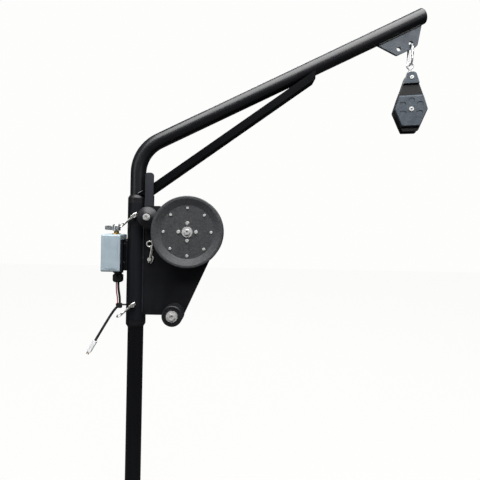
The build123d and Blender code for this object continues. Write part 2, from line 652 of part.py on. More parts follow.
GEARBOX_LEFT = WORM_X - WORM_RADIUS - 10
GEARBOX_RIGHT = WHEEL_X + GEARBOX_HEIGHT / 2
GEARBOX_X = (GEARBOX_LEFT + GEARBOX_RIGHT) / 2
GEARBOX_WIDTH = GEARBOX_RIGHT - GEARBOX_LEFT
with BuildPart() as gearbox_housing:
    with BuildSketch(facing(GEARBOX_X, WHEEL_Z, GEARBOX_BACK)):
        RectangleRounded(GEARBOX_WIDTH, GEARBOX_HEIGHT, 10)
    extrude(amount=GEARBOX_DEPTH)
    with BuildSketch(facing(GEARBOX_X, WHEEL_Z, GEARBOX_BACK)):
        RectangleRounded(GEARBOX_WIDTH - 2 * GEARBOX_WALL, GEARBOX_HEIGHT - 2 * GEARBOX_WALL, 6)
    extrude(amount=GEARBOX_DEPTH - BEARING_WIDTH, mode=Mode.SUBTRACT)
    with BuildSketch(facing(WHEEL_X, WHEEL_Z, PLATE_BACK)):
        Circle(BEARING_RADIUS)
        with PolarLocations(GEARBOX_SCREW_CIRCLE, 4, start_angle=45):
            Circle(GEARBOX_SCREW_RADIUS)
    extrude(amount=-BEARING_WIDTH, mode=Mode.SUBTRACT)
    with BuildSketch(Plane(origin=(WORM_X, WORM_Y, GEARBOX_BOTTOM))):
        Circle(MOTOR_SHAFT_RADIUS + FIT)
    extrude(amount=GEARBOX_WALL, mode=Mode.SUBTRACT)
save(gearbox_housing, "gearbox_housing")

with BuildPart() as gearbox_cover:
    with BuildSketch(facing(GEARBOX_X, WHEEL_Z, GEARBOX_BACK)):
        RectangleRounded(GEARBOX_WIDTH, GEARBOX_HEIGHT, 10)
    extrude(amount=-5)
    with BuildSketch(facing(WHEEL_X, WHEEL_Z, GEARBOX_BACK)):
        Circle(BEARING_RADIUS + 5)
        Circle(BEARING_RADIUS, mode=Mode.SUBTRACT)
    extrude(amount=GEARBOX_WALL + BEARING_WIDTH)
    with BuildSketch(facing(WHEEL_X, WHEEL_Z, GEARBOX_BACK)):
        Circle(BEARING_RADIUS)
    extrude(amount=GEARBOX_WALL)
save(gearbox_cover, "gearbox_cover")

# The gearbox screws go through the plate from the front.
with BuildPart() as gearbox_screws:
    with BuildSketch(facing(WHEEL_X, WHEEL_Z, PLATE_BACK - BEARING_WIDTH + 1)):
        with PolarLocations(GEARBOX_SCREW_CIRCLE, 4, start_angle=45):
            Circle(GEARBOX_SCREW_RADIUS)
    extrude(amount=PLATE_THICK + BEARING_WIDTH - 1)
    with BuildSketch(facing(WHEEL_X, WHEEL_Z, PLATE_FRONT)):
        with PolarLocations(GEARBOX_SCREW_CIRCLE, 4, start_angle=45):
            Circle(GEARBOX_SCREW_RADIUS + 2.5)
    extrude(amount=4.5)
save(gearbox_screws, "gearbox_screws")

# ---- rollers ----
TOP_ROLLER_BACK = POST_FRONT + STRIPPER_THICK + WASHER_THICK + LOOSE
TOP_ROLLER_FRONT = TOP_ROLLER_BACK + TOP_ROLLER_WIDTH
LOWER_ROLLER_BACK = PLATE_FRONT + WASHER_THICK + LOOSE
LOWER_ROLLER_FRONT = LOWER_ROLLER_BACK + LOWER_ROLLER_WIDTH
ROLLER_BORE = BOLT_R + 2 * FIT
CONE_FACE = 13            # radius of a cone's flat end
EDGE_HALF = 4             # half the width of the double cone's edge
top_middle = (TOP_ROLLER_BACK + TOP_ROLLER_FRONT) / 2
with BuildPart() as top_roller:
    with BuildSketch(radial(TOP_ROLLER_X, TOP_ROLLER_Z)):
        with BuildLine():
            Polyline(
                (ROLLER_BORE, TOP_ROLLER_BACK),
                (CONE_FACE, TOP_ROLLER_BACK),
                (ROLLER_RADIUS, top_middle - EDGE_HALF),
                (ROLLER_RADIUS, top_middle + EDGE_HALF),
                (CONE_FACE, TOP_ROLLER_FRONT),
                (ROLLER_BORE, TOP_ROLLER_FRONT),
                close=True,
            )
        make_face()
    revolve(axis=axis_at(TOP_ROLLER_X, TOP_ROLLER_Z))
save(top_roller, "top_roller")

with BuildPart() as lower_roller:
    with BuildSketch(facing(LOWER_ROLLER_X, LOWER_ROLLER_Z, LOWER_ROLLER_BACK)):
        Circle(ROLLER_RADIUS)
        Circle(ROLLER_BORE, mode=Mode.SUBTRACT)
    extrude(amount=LOWER_ROLLER_WIDTH)
    chamfer(lower_roller.edges().filter_by(GeomType.CIRCLE).group_by(SortBy.RADIUS)[-1], 1.5)
    with BuildSketch(facing(LOWER_ROLLER_X, LOWER_ROLLER_Z, LOWER_ROLLER_FRONT)):
        Circle(ROLLER_RADIUS - 6)
        Circle(ROLLER_RADIUS - 8, mode=Mode.SUBTRACT)
    extrude(amount=-1, mode=Mode.SUBTRACT)
save(lower_roller, "lower_roller")

with BuildPart() as roller_washers:
    for x, z, back, radius in (
        (TOP_ROLLER_X, TOP_ROLLER_Z, POST_FRONT + STRIPPER_THICK, 10.5),
        (TOP_ROLLER_X, TOP_ROLLER_Z, TOP_ROLLER_FRONT + LOOSE, 10.5),
        (LOWER_ROLLER_X, LOWER_ROLLER_Z, PLATE_FRONT, 12),
        (LOWER_ROLLER_X, LOWER_ROLLER_Z, LOWER_ROLLER_FRONT + LOOSE, 17),
    ):
        with BuildSketch(facing(x, z, back)):
            Circle(radius)
            Circle(BOLT_R + FIT, mode=Mode.SUBTRACT)
        extrude(amount=WASHER_THICK)
save(roller_washers, "roller_washers")


# Each bolt's head bears on its roller's front washer, and its nut is behind the plate.
BOLT_HEAD = 6
BOLT_SOCKET = 3.5         # depth of the hollow in a bolt's head
NUT_THICK = 8
bolt_places = [
    (TOP_ROLLER_X, TOP_ROLLER_Z, TOP_ROLLER_FRONT + LOOSE + WASHER_THICK, 14),
    (LOWER_ROLLER_X, LOWER_ROLLER_Z, LOWER_ROLLER_FRONT + LOOSE + WASHER_THICK, 18),
]
with BuildPart() as roller_bolts:
    for x, z, front, head_width in bolt_places:
        with BuildSketch(facing(x, z, PLATE_BACK - NUT_THICK - 2)):
            Circle(BOLT_R)
        extrude(amount=front - PLATE_BACK + NUT_THICK + 2)
        with BuildSketch(facing(x, z, front)):
            RegularPolygon(head_width / 2, 6, major_radius=False)
        extrude(amount=BOLT_HEAD)
        with BuildSketch(facing(x, z, front + BOLT_HEAD)):
            Circle(0.3 * head_width)
        extrude(amount=-BOLT_SOCKET, mode=Mode.SUBTRACT)
save(roller_bolts, "roller_bolts")

with BuildPart() as roller_nuts:
    with BuildSketch(Plane.XZ.offset(PLATE_BACK)):
        with Locations((TOP_ROLLER_X, TOP_ROLLER_Z), (LOWER_ROLLER_X, LOWER_ROLLER_Z)):
            RegularPolygon(1.7 * BOLT_R, 6, major_radius=False)
            Circle(BOLT_R, mode=Mode.SUBTRACT)
    extrude(amount=-NUT_THICK)
save(roller_nuts, "roller_nuts")

# ---- switch box: a cast weatherproof box with its cover on the outer side ----
COVER_THICK = 5
BODY_LEFT = BOX_LEFT + COVER_THICK
BODY_WIDTH = BOX_RIGHT - BODY_LEFT
BOX_Z = BOX_BOTTOM + BOX_HEIGHT / 2
BOX_CORNER = 6
NECK_RADIUS = 8
GLAND_NECK = 9
cover_side = Plane(origin=(BODY_LEFT, 0, BOX_Z), x_dir=(0, 1, 0), z_dir=(1, 0, 0))
bracket_screw_places = [(12, 30), (-12, 30), (12, -30), (-12, -30)]
with BuildPart() as box_body:
    with BuildSketch(cover_side):
        RectangleRounded(BOX_DEPTH, BOX_HEIGHT, BOX_CORNER)
    extrude(amount=BODY_WIDTH)
    fillet(box_body.faces().sort_by(Axis.X)[-1].edges(), 3)
    with BuildSketch(cover_side):
        RectangleRounded(BOX_DEPTH - 2 * BOX_WALL, BOX_HEIGHT - 2 * BOX_WALL, BOX_CORNER - 2)
    extrude(amount=BODY_WIDTH - BOX_WALL, mode=Mode.SUBTRACT)
    with BuildSketch(facing(BODY_LEFT + BODY_WIDTH / 2, BOX_Z, BOX_DEPTH / 2)):
        RectangleRounded(BODY_WIDTH - 16, BOX_HEIGHT - 20, 5)
    extrude(amount=1.2)
    with BuildSketch(Plane(origin=(LEVER_X, 0, BOX_TOP))):
        Circle(NECK_RADIUS + FIT)
    extrude(amount=-BOX_WALL, mode=Mode.SUBTRACT)
    with BuildSketch(Plane(origin=(GLAND_X, GLAND_Y, BOX_BOTTOM))):
        Circle(GLAND_NECK + FIT)
    extrude(amount=BOX_WALL, mode=Mode.SUBTRACT)
    with BuildSketch(Plane(origin=(BOX_RIGHT, 0, BOX_Z), x_dir=(0, 1, 0), z_dir=(1, 0, 0))):
        with Locations(*bracket_screw_places):
            Circle(2.5 + FIT)
    extrude(amount=-BOX_WALL, mode=Mode.SUBTRACT)
save(box_body, "box_body")

cover_screw_places = [(0, 0.44 * BOX_HEIGHT), (0, -0.44 * BOX_HEIGHT)]
with BuildPart() as box_cover:
    with BuildSketch(cover_side):
        RectangleRounded(BOX_DEPTH, BOX_HEIGHT, BOX_CORNER)
    extrude(amount=-COVER_THICK)
    fillet(box_cover.faces().sort_by(Axis.X)[0].edges(), 2)
save(box_cover, "box_cover")

with BuildPart() as cover_screws:
    with BuildSketch(Plane(origin=(BOX_LEFT, 0, BOX_Z), x_dir=(0, 1, 0), z_dir=(-1, 0, 0))):
        with Locations(*cover_screw_places):
            Circle(3.5)
    extrude(amount=2)
save(cover_screws, "cover_screws")

# The bracket is a back plate and a web that is coped to the sleeve.
BRACKET_THICK = 6
BRACKET_HEIGHT = 98
BRACKET_WIDTH = 62
with BuildPart() as box_bracket:
    with BuildSketch(Plane(origin=(BOX_RIGHT, 0, BOX_BOTTOM + 2 + BRACKET_HEIGHT / 2),
                           x_dir=(0, 1, 0), z_dir=(1, 0, 0))):
        Rectangle(BRACKET_WIDTH, BRACKET_HEIGHT)
    extrude(amount=BRACKET_THICK)
    with BuildSketch(Plane(origin=(BOX_RIGHT + BRACKET_THICK, 0, BOX_BOTTOM + 2))):
        Rectangle(SLEEVE_R, 20, align=(Align.MIN, Align.CENTER))
    extrude(amount=BRACKET_HEIGHT)
    with BuildSketch(Plane.XY.offset(SLEEVE_BOTTOM)):
        Circle(SLEEVE_R)
    extrude(amount=SLEEVE_LENGTH, mode=Mode.SUBTRACT)
    with BuildSketch(Plane(origin=(BOX_RIGHT, 0, BOX_Z), x_dir=(0, 1, 0), z_dir=(1, 0, 0))):
        with Locations(*bracket_screw_places):
            Circle(2.5)
    extrude(amount=BRACKET_THICK, mode=Mode.SUBTRACT)
save(box_bracket, "box_bracket")

with BuildPart() as bracket_screws:
    with BuildSketch(
        Plane(origin=(BOX_RIGHT - BOX_WALL, 0, BOX_Z), x_dir=(0, 1, 0), z_dir=(1, 0, 0))
    ):
        with Locations(*bracket_screw_places):
            Circle(2.5)
    extrude(amount=BOX_WALL + BRACKET_THICK)
    with BuildSketch(
        Plane(origin=(BOX_RIGHT - BOX_WALL, 0, BOX_Z), x_dir=(0, 1, 0), z_dir=(1, 0, 0))
    ):
        with Locations(*bracket_screw_places):
            Circle(4.5)
    extrude(amount=-3)
save(bracket_screws, "bracket_screws")

# ---- rotary switch: body inside, threaded neck, brass nut and lever on top ----
STEM_RADIUS = 4
NUT_HEIGHT = 11
SWITCH_HEIGHT = 48
with BuildPart() as switch_body:
    with BuildSketch(Plane(origin=(LEVER_X, 0, BOX_TOP - BOX_WALL))):
        RectangleRounded(30, 44, 3)
    extrude(amount=-SWITCH_HEIGHT)
    with BuildSketch(Plane(origin=(LEVER_X, 0, BOX_TOP - BOX_WALL))):
        Circle(NECK_RADIUS)
    extrude(amount=BOX_WALL)
    with BuildSketch(Plane(origin=(LEVER_X, 0, BOX_TOP))):
        Circle(STEM_RADIUS + FIT)
    extrude(amount=-20, mode=Mode.SUBTRACT)
save(switch_body, "switch_body")

with BuildPart() as switch_nut:
    with BuildSketch(Plane(origin=(LEVER_X, 0, BOX_TOP))):
        Circle(13)
    extrude(amount=2.5)
    with BuildSketch(Plane(origin=(LEVER_X, 0, BOX_TOP + 2.5))):
        RegularPolygon(8, 6)
    extrude(amount=NUT_HEIGHT - 2.5)
    chamfer(switch_nut.faces().sort_by(Axis.Z)[-1].edges(), 1)
    with BuildSketch(Plane(origin=(LEVER_X, 0, BOX_TOP))):
        Circle(STEM_RADIUS + FIT)
    extrude(amount=NUT_HEIGHT, mode=Mode.SUBTRACT)
save(switch_nut, "switch_nut")

LEVER_BOTTOM = BOX_TOP + NUT_HEIGHT + LOOSE
LEVER_HUB_RADIUS = 12
LEVER_HUB_HEIGHT = 20
with BuildPart() as switch_lever:
    with BuildSketch(Plane(origin=(LEVER_X, 0, BOX_TOP - 19))):
        Circle(STEM_RADIUS)
    extrude(amount=LEVER_BOTTOM - BOX_TOP + 19)
    with BuildSketch(Plane(origin=(LEVER_X, 0, LEVER_BOTTOM))):
        Circle(LEVER_HUB_RADIUS)
    extrude(amount=LEVER_HUB_HEIGHT)
    fillet(switch_lever.faces().sort_by(Axis.Z)[-1].edges(), 5)
    with BuildSketch(facing(LEVER_X, LEVER_BOTTOM, -5)) as wing:
        with BuildLine():
            Polyline(
                (0, 1.5),
                (-22, 1.5),
                (-35, 2.5),
                (-35, 15),
                (-22, 15.5),
                (0, 7),
                close=True,
            )
        make_face()
        fillet(wing.vertices().group_by(Axis.X)[0] + wing.vertices().group_by(Axis.X)[1], 2.5)
    extrude(amount=10)
save(switch_lever, "switch_lever")

# ---- cable gland under the box ----
CABLE_D = 7
LEAD_D = 8
MOTOR_CABLE_D = 5.5
RED_D = 3.6
GLAND_FOOT = BOX_BOTTOM - 37
with BuildPart() as gland_body:
    with BuildSketch(Plane(origin=(GLAND_X, GLAND_Y, BOX_BOTTOM + BOX_WALL + 6))):
        Circle(GLAND_NECK)
    extrude(amount=-BOX_WALL - 6)
    with BuildSketch(Plane(origin=(GLAND_X, GLAND_Y, BOX_BOTTOM))):
        RegularPolygon(GLAND_RADIUS, 6)
    extrude(amount=-7)
    with BuildSketch(Plane(origin=(GLAND_X, GLAND_Y, BOX_BOTTOM - 7))):
        Circle(12)
    extrude(amount=-5)
save(gland_body, "gland_body")

with BuildPart() as gland_nut:
    with BuildSketch(Plane(origin=(GLAND_X, GLAND_Y, BOX_BOTTOM - 12))):
        Circle(GLAND_RADIUS)
    extrude(amount=GLAND_FOOT - BOX_BOTTOM + 12)
    fillet(gland_nut.faces().sort_by(Axis.Z)[0].edges(), 8)
    fillet(gland_nut.faces().sort_by(Axis.Z)[-1].edges(), 4)
save(gland_nut, "gland_nut")

# ---- cables: switch cable and red wire down to a splice, motor cable and supply lead from it ----
SPLICE_X = -59.5
SPLICE_Y = 18
SPLICE_Z = 590
SPLICE_HALF = 8.5         # half its width
SPLICE_RISE = 7           # half its height
SPLICE_SLANT = 8          # the supply lead leaves from a slanted corner
with BuildPart() as cable_splice:
    with BuildSketch(facing(SPLICE_X, SPLICE_Z, -SPLICE_Y)):
        with BuildLine():
            Polyline(
                (-SPLICE_HALF, SPLICE_SLANT - SPLICE_RISE),
                (SPLICE_SLANT - SPLICE_HALF, -SPLICE_RISE),
                (SPLICE_HALF, -SPLICE_RISE),
                (SPLICE_HALF, SPLICE_RISE),
                (-SPLICE_HALF, SPLICE_RISE),
                close=True,
            )
        make_face()
    extrude(amount=6, both=True)
save(cable_splice, "cable_splice")

splice_top = SPLICE_Z + SPLICE_RISE
switch_cable_points = [
    (GLAND_X + 1, GLAND_Y + 1, GLAND_FOOT),
    (GLAND_X + 1, GLAND_Y + 1, 651),
    (GLAND_X + 2, GLAND_Y + 5, 634),
    (GLAND_X + 3.8, SPLICE_Y, 613),
    (GLAND_X + 3.8, SPLICE_Y, splice_top),
]
cord(switch_cable_points, CABLE_D, "switch_cable")

red_wire_points = [
    (GLAND_X - 4.5, GLAND_Y - 2, GLAND_FOOT),
    (GLAND_X - 4.5, GLAND_Y - 2, 655),
    (GLAND_X - 5, GLAND_Y + 2, 636),
    (GLAND_X - 3.4, SPLICE_Y, 612),
    (GLAND_X - 3.4, SPLICE_Y, splice_top),
]
cord(red_wire_points, RED_D, "red_wire")

motor_cable_points = [
    (SPLICE_X + SPLICE_HALF, SPLICE_Y, 593),
    (SPLICE_X + SPLICE_HALF + 14, SPLICE_Y, 593),
    (-22, 26, 593.5),
    (-7, 39, 594),
    (12, 45.5, 594.5),
    (44, 46, 592),
    (76, 41, 589),
    (MOTOR_GLAND_X - 13, 31, 593),
    (MOTOR_GLAND_X, WORM_Y, 604),
    (MOTOR_GLAND_X, WORM_Y, MOTOR_BOTTOM - 8 - MOTOR_GLAND_LENGTH),
]
cord(motor_cable_points, MOTOR_CABLE_D, "motor_cable")

slant_x = SPLICE_X - SPLICE_HALF + SPLICE_SLANT / 2
slant_z = SPLICE_Z - SPLICE_RISE + SPLICE_SLANT / 2
supply_lead_points = [
    (slant_x, SPLICE_Y, slant_z),
    (slant_x - 12, SPLICE_Y, slant_z - 12),
    (-99, 14, 535),
    (-130.5, 10, 478.5),
]
cord(supply_lead_points, LEAD_D, "supply_lead")

# The connector's shell is square in section and continues the lead's last run.
lead_end = Vector(*supply_lead_points[-1])
plug_direction = (lead_end - Vector(*supply_lead_points[-2])).normalized()
PLUG_LENGTH = 38
PLUG_SIDE = 14
with BuildPart() as connector_shell:
    with BuildSketch(Plane(origin=lead_end, x_dir=(0, 1, 0), z_dir=plug_direction)):
        RectangleRounded(PLUG_SIDE - 1.5, PLUG_SIDE, 2.5)
    extrude(amount=PLUG_LENGTH)
save(connector_shell, "connector_shell")

with BuildPart() as connector_contacts:
    with BuildSketch(
        Plane(origin=lead_end + plug_direction * PLUG_LENGTH, x_dir=(0, 1, 0), z_dir=plug_direction)
    ):
        with Locations((0, 2.6), (0, -2.6)):
            Circle(1.8)
    extrude(amount=10)
save(connector_contacts, "connector_contacts")

# ---- carabiner: hangs square to the tip plate through its outer hole ----
HOOK_R = HOOK_WIRE / 2
HOOK_HALF = (HOOK_WIDTH - HOOK_WIRE) / 2
tip_hole = TIP_PLANE.from_local_coords(Vector(*TIP_HOLES[1], 0))
HOOK_X = tip_hole.X
HOOK_TOP = tip_hole.Z - TIP_HOLE_RADIUS + HOOK_R + 1
HOOK_BOTTOM = HOOK_TOP - HOOK_LENGTH + HOOK_WIRE
GATE_RADIUS = 4.2
GATE_HINGE_Z = HOOK_BOTTOM + HOOK_HALF + 9
side_view = Plane(origin=(HOOK_X, 0, 0), x_dir=(0, 1, 0), z_dir=(1, 0, 0))
gate_seat = GATE_HINGE_Z - GATE_RADIUS - LOOSE
arc_top = HOOK_TOP - HOOK_HALF
arc_bottom = HOOK_BOTTOM + HOOK_HALF
nose_angle = 30           # how far the upper bend comes round towards the gate
nose = math.radians(180 - nose_angle)
nose_z = arc_top + HOOK_HALF * math.sin(nose)
with BuildPart() as carabiner_body:
    with BuildLine(side_view) as hook_route:
        CenterArc((0, arc_top), HOOK_HALF, 0, 180 - nose_angle)
        Line((HOOK_HALF, arc_top), (HOOK_HALF, arc_bottom))
        CenterArc((0, arc_bottom), HOOK_HALF, 180, 180)
        Line((-HOOK_HALF, arc_bottom), (-HOOK_HALF, gate_seat))
    with BuildSketch(Plane(origin=(HOOK_X, -HOOK_HALF, gate_seat), z_dir=(0, 0, -1))):
        Circle(HOOK_R)
    sweep(path=hook_route.line)
    with BuildSketch(Plane(origin=(HOOK_X, -HOOK_HALF, gate_seat - 1))):
        Rectangle(2.4, 5)
    extrude(amount=GATE_HINGE_Z + 2.4 - gate_seat + 1)
    with BuildSketch(Plane(origin=(HOOK_X, -HOOK_HALF, GATE_HINGE_Z), z_dir=(1, 0, 0))):
        Circle(1.2)
    extrude(amount=GATE_RADIUS, both=True)
save(carabiner_body, "carabiner_body")

GATE_END_Z = nose_z - HOOK_R - 1.2
with BuildPart() as carabiner_gate:
    with BuildSketch(Plane(origin=(HOOK_X, -HOOK_HALF, GATE_HINGE_Z))):
        Circle(GATE_RADIUS)
    extrude(amount=GATE_END_Z - GATE_HINGE_Z)
    fillet(carabiner_gate.faces().sort_by(Axis.Z)[-1].edges(), 1)
    with Locations((HOOK_X, -HOOK_HALF, GATE_HINGE_Z)):
        Sphere(GATE_RADIUS)
    with BuildSketch(Plane(origin=(HOOK_X, -HOOK_HALF, GATE_HINGE_Z - GATE_RADIUS))):
        Rectangle(3, 3 * GATE_RADIUS)
    extrude(amount=GATE_RADIUS + 7, mode=Mode.SUBTRACT)
    with BuildSketch(Plane(origin=(HOOK_X, -HOOK_HALF, GATE_HINGE_Z), z_dir=(1, 0, 0))):
        Circle(1.2 + FIT)
    extrude(amount=2 * GATE_RADIUS, both=True, mode=Mode.SUBTRACT)
save(carabiner_gate, "carabiner_gate")

# ---- swivel eye: ring on the carabiner, stem and button held in the block's head ----
EYE_WIRE_R = 2.5
EYE_BORE = 7
EYE_MID = EYE_BORE + EYE_WIRE_R
EYE_Z = HOOK_BOTTOM + HOOK_R + LOOSE - EYE_BORE
STEM_R = 4
BUTTON_R = 6
BLOCK_TOP = EYE_Z - EYE_MID - EYE_WIRE_R - 12
PIN_BELOW_TOP = 21
BECKET_Z = BLOCK_TOP - PIN_BELOW_TOP
BECKET_R = 4
AXLE_Z = BLOCK_TOP - 120
HEAD_TOP = BLOCK_TOP + 1
button_bottom = BECKET_Z + BECKET_R + 2
with BuildPart() as swivel_eye:
    with BuildLine(facing(HOOK_X, EYE_Z, 0)) as eye_route:
        CenterArc((0, 0), EYE_MID, 0, 360)
    with BuildSketch(Plane(origin=(HOOK_X + EYE_MID, 0, EYE_Z), z_dir=(0, 0, 1))):
        Circle(EYE_WIRE_R)
    sweep(path=eye_route.line)
    with BuildSketch(Plane(origin=(HOOK_X, 0, EYE_Z - EYE_BORE - 1))):
        Circle(STEM_R)
    extrude(amount=button_bottom - EYE_Z + EYE_BORE + 1)
    with BuildSketch(Plane(origin=(HOOK_X, 0, HEAD_TOP + LOOSE))):
        Circle(7)
    extrude(amount=4)
    with BuildSketch(Plane(origin=(HOOK_X, 0, button_bottom))):
        Circle(BUTTON_R)
    extrude(amount=3)
save(swivel_eye, "swivel_eye")

# ---- block: two cheeks, head, sheave and pins, all turned by the same yaw ----
yaw = math.radians(BLOCK_YAW)
block_right = Vector(math.cos(yaw), -math.sin(yaw), 0)
block_normal = Vector(-math.sin(yaw), -math.cos(yaw), 0)


def on_block(z, forward):
    """A plane that faces the block's front, centred on its vertical axis at height z."""
    origin = Vector(HOOK_X, 0, z) + block_normal * forward
    return Plane(origin=origin, x_dir=block_right, z_dir=block_normal)


HEAD_HALF = BLOCK_GAP / 2
with BuildPart() as block_head:
    with BuildSketch(on_block(BECKET_Z - 8, -HEAD_HALF)):
        Rectangle(19, HEAD_TOP - BECKET_Z + 8, align=(Align.CENTER, Align.MIN))
    extrude(amount=BLOCK_GAP)
    fillet(block_head.edges().filter_by(Axis.Z), 2)
    with BuildSketch(Plane(origin=(HOOK_X, 0, button_bottom - LOOSE))):
        Circle(BUTTON_R + LOOSE)
    extrude(amount=3 + 2 * LOOSE, mode=Mode.SUBTRACT)
    with BuildSketch(Plane(origin=(HOOK_X, 0, button_bottom))):
        Circle(STEM_R + 2 * FIT)
    extrude(amount=HEAD_TOP - button_bottom + 1, mode=Mode.SUBTRACT)
    with BuildSketch(on_block(BECKET_Z, -HEAD_HALF - 1)):
        Circle(BECKET_R + FIT)
    extrude(amount=BLOCK_GAP + 2, mode=Mode.SUBTRACT)
save(block_head, "block_head")

BLOCK_HALF = BLOCK_THICK / 2
BASE_FRONT = HEAD_HALF + 7         # the recessed band's level
TAB_FOOT = 81                      # heights above the axle
TAB_HEAD = 116
COVER_HEAD = 44
COVER_FOOT = -52
COVER_INSET = 2                    # inside the base's outline
COVER_BEVEL = 5                    # along the cover's upper edge
BLOCK_FOOT = -66
AXLE_RADIUS = 5.5


def cheek_width(height):
    """Half the cheek's width at a height above the axle."""
    if height > COVER_HEAD:
        return 23 + (TAB_FOOT - height) * 13 / (TAB_FOOT - COVER_HEAD)
    if height > 0:
        return 36 + (COVER_HEAD - height) * 13 / COVER_HEAD
    return 49 + height * 27 / -BLOCK_FOOT


def cheek_outline(low, high, inset=0):
    """The outline between two heights, as a closed polygon."""
    bends = [h for h in (0, COVER_HEAD) if low < h < high]
    heights = [low] + bends + [high]
    right = [(cheek_width(h) - inset, h) for h in heights]
    left = [(-w, h) for w, h in reversed(right)]
    return right + left


def block_cheek(side, name):
    """One moulded cheek; side is +1 for the front one and -1 for the rear one."""
    with BuildPart() as cheek:
        with BuildSketch(on_block(AXLE_Z, side * HEAD_HALF)) as base:
            with BuildLine():
                Polyline(*cheek_outline(BLOCK_FOOT, TAB_FOOT), close=True)
            make_face()
            with BuildLine():
                Polyline((-23, TAB_FOOT), (23, TAB_FOOT), (12, TAB_HEAD), (-12, TAB_HEAD), close=True)
            make_face()
            fillet(base.vertices().group_by(Axis.Y)[-1], 11)
            fillet(base.vertices().group_by(Axis.Y)[0], 6)
        extrude(amount=side * (BASE_FRONT - HEAD_HALF))
        with BuildSketch(on_block(AXLE_Z, side * BASE_FRONT)) as tab:
            with BuildLine():
                Polyline((-23, TAB_FOOT), (23, TAB_FOOT), (12, TAB_HEAD), (-12, TAB_HEAD), close=True)
            make_face()
            fillet(tab.vertices().group_by(Axis.Y)[-1], 11)
        extrude(amount=side * (BLOCK_HALF - BASE_FRONT - 2))
        with BuildSketch(on_block(AXLE_Z, side * BASE_FRONT)) as cover:
            with BuildLine():
                Polyline(*cheek_outline(COVER_FOOT, COVER_HEAD, COVER_INSET), close=True)
            make_face()
            fillet(cover.vertices().group_by(Axis.Y)[0], 6)
        extrude(amount=side * (BLOCK_HALF - BASE_FRONT))
        outward = Axis((HOOK_X, 0, 0), block_normal * side)
        outer_face = cheek.faces().sort_by(outward)[-1]
        chamfer(outer_face.edges().sort_by(Axis.Z)[-1], COVER_BEVEL)
        outer_face = cheek.faces().sort_by(outward)[-1]
        chamfer(outer_face.edges().sort_by(Axis.Z)[:-1], 1.5)
        with BuildSketch(on_block(AXLE_Z, side * BLOCK_HALF)):
            with Locations((0, 27), (25, 15), (-25, 15), (24, -12), (-24, -12)):
                SlotOverall(19, 15)
        extrude(amount=-side * 1.5, mode=Mode.SUBTRACT)
        with BuildSketch(on_block(AXLE_Z, 0)):
            Circle(AXLE_RADIUS + FIT)
            with Locations((0, BECKET_Z - AXLE_Z)):
                Circle(BECKET_R + FIT)
        extrude(amount=side * (BLOCK_HALF + 1), mode=Mode.SUBTRACT)
    save(cheek, name)


block_cheek(1, "block_front_cheek")
block_cheek(-1, "block_rear_cheek")

SHEAVE_HALF = HEAD_HALF - LOOSE
with BuildPart() as block_sheave:
    with BuildSketch(Plane(origin=(HOOK_X, 0, AXLE_Z), x_dir=block_right, z_dir=(0, 0, -1))):
        with BuildLine():
            bore = AXLE_RADIUS + 2 * FIT
            Polyline(
                (bore, -SHEAVE_HALF),
                (SHEAVE_RADIUS, -SHEAVE_HALF),
                (SHEAVE_RADIUS, -SHEAVE_HALF + 2),
                (SHEAVE_RADIUS - SHEAVE_GROOVE, -1.5),
                (SHEAVE_RADIUS - SHEAVE_GROOVE, 1.5),
                (SHEAVE_RADIUS, SHEAVE_HALF - 2),
                (SHEAVE_RADIUS, SHEAVE_HALF),
                (bore, SHEAVE_HALF),
                close=True,
            )
        make_face()
    revolve(axis=Axis((HOOK_X, 0, AXLE_Z), block_normal))
save(block_sheave, "block_sheave")


def block_rivet(z, radius, face, name):
    """A tubular rivet through both cheeks with a flanged head at each end."""
    with BuildPart() as rivet:
        with BuildSketch(on_block(z, -face)):
            Circle(radius)
        extrude(amount=2 * face)
        for side in (1, -1):
            with BuildSketch(on_block(z, side * face)):
                Circle(radius + 1.6)
            extrude(amount=side * 1.6)
        with BuildSketch(on_block(z, face + 1.6)):
            Circle(0.5 * radius)
        extrude(amount=-4, mode=Mode.SUBTRACT)
    save(rivet, name)


block_rivet(AXLE_Z, AXLE_RADIUS, BLOCK_HALF, "block_axle")
block_rivet(BECKET_Z, BECKET_R, BLOCK_HALF - 2, "becket_pin")
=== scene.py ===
import json
import math

import bmesh
import bpy
from mathutils import Matrix, Vector


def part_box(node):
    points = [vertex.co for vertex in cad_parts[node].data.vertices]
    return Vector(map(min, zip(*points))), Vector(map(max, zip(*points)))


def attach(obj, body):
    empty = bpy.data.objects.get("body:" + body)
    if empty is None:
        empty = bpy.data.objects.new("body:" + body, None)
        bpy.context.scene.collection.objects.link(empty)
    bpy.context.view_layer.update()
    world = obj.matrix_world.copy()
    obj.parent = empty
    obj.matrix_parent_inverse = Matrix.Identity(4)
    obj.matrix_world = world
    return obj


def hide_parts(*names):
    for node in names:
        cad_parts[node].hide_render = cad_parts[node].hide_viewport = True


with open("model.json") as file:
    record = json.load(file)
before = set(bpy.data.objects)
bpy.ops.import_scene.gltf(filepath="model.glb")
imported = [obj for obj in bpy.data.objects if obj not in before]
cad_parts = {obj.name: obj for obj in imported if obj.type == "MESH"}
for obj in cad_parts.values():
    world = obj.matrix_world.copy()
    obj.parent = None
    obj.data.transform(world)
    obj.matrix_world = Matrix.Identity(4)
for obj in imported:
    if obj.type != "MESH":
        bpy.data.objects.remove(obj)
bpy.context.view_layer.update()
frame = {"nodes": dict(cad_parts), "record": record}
nodes = frame["nodes"]


# ---- mast ----
# A length of 48.3 mm steel pipe, cut square, drilled for its hitch pin and powder coated black.
# The coat is satin, with a fine orange-peel skin and dull streaks where the pipe has been handled.
def shader_of(material):
    return material.node_tree.nodes["Principled BSDF"]


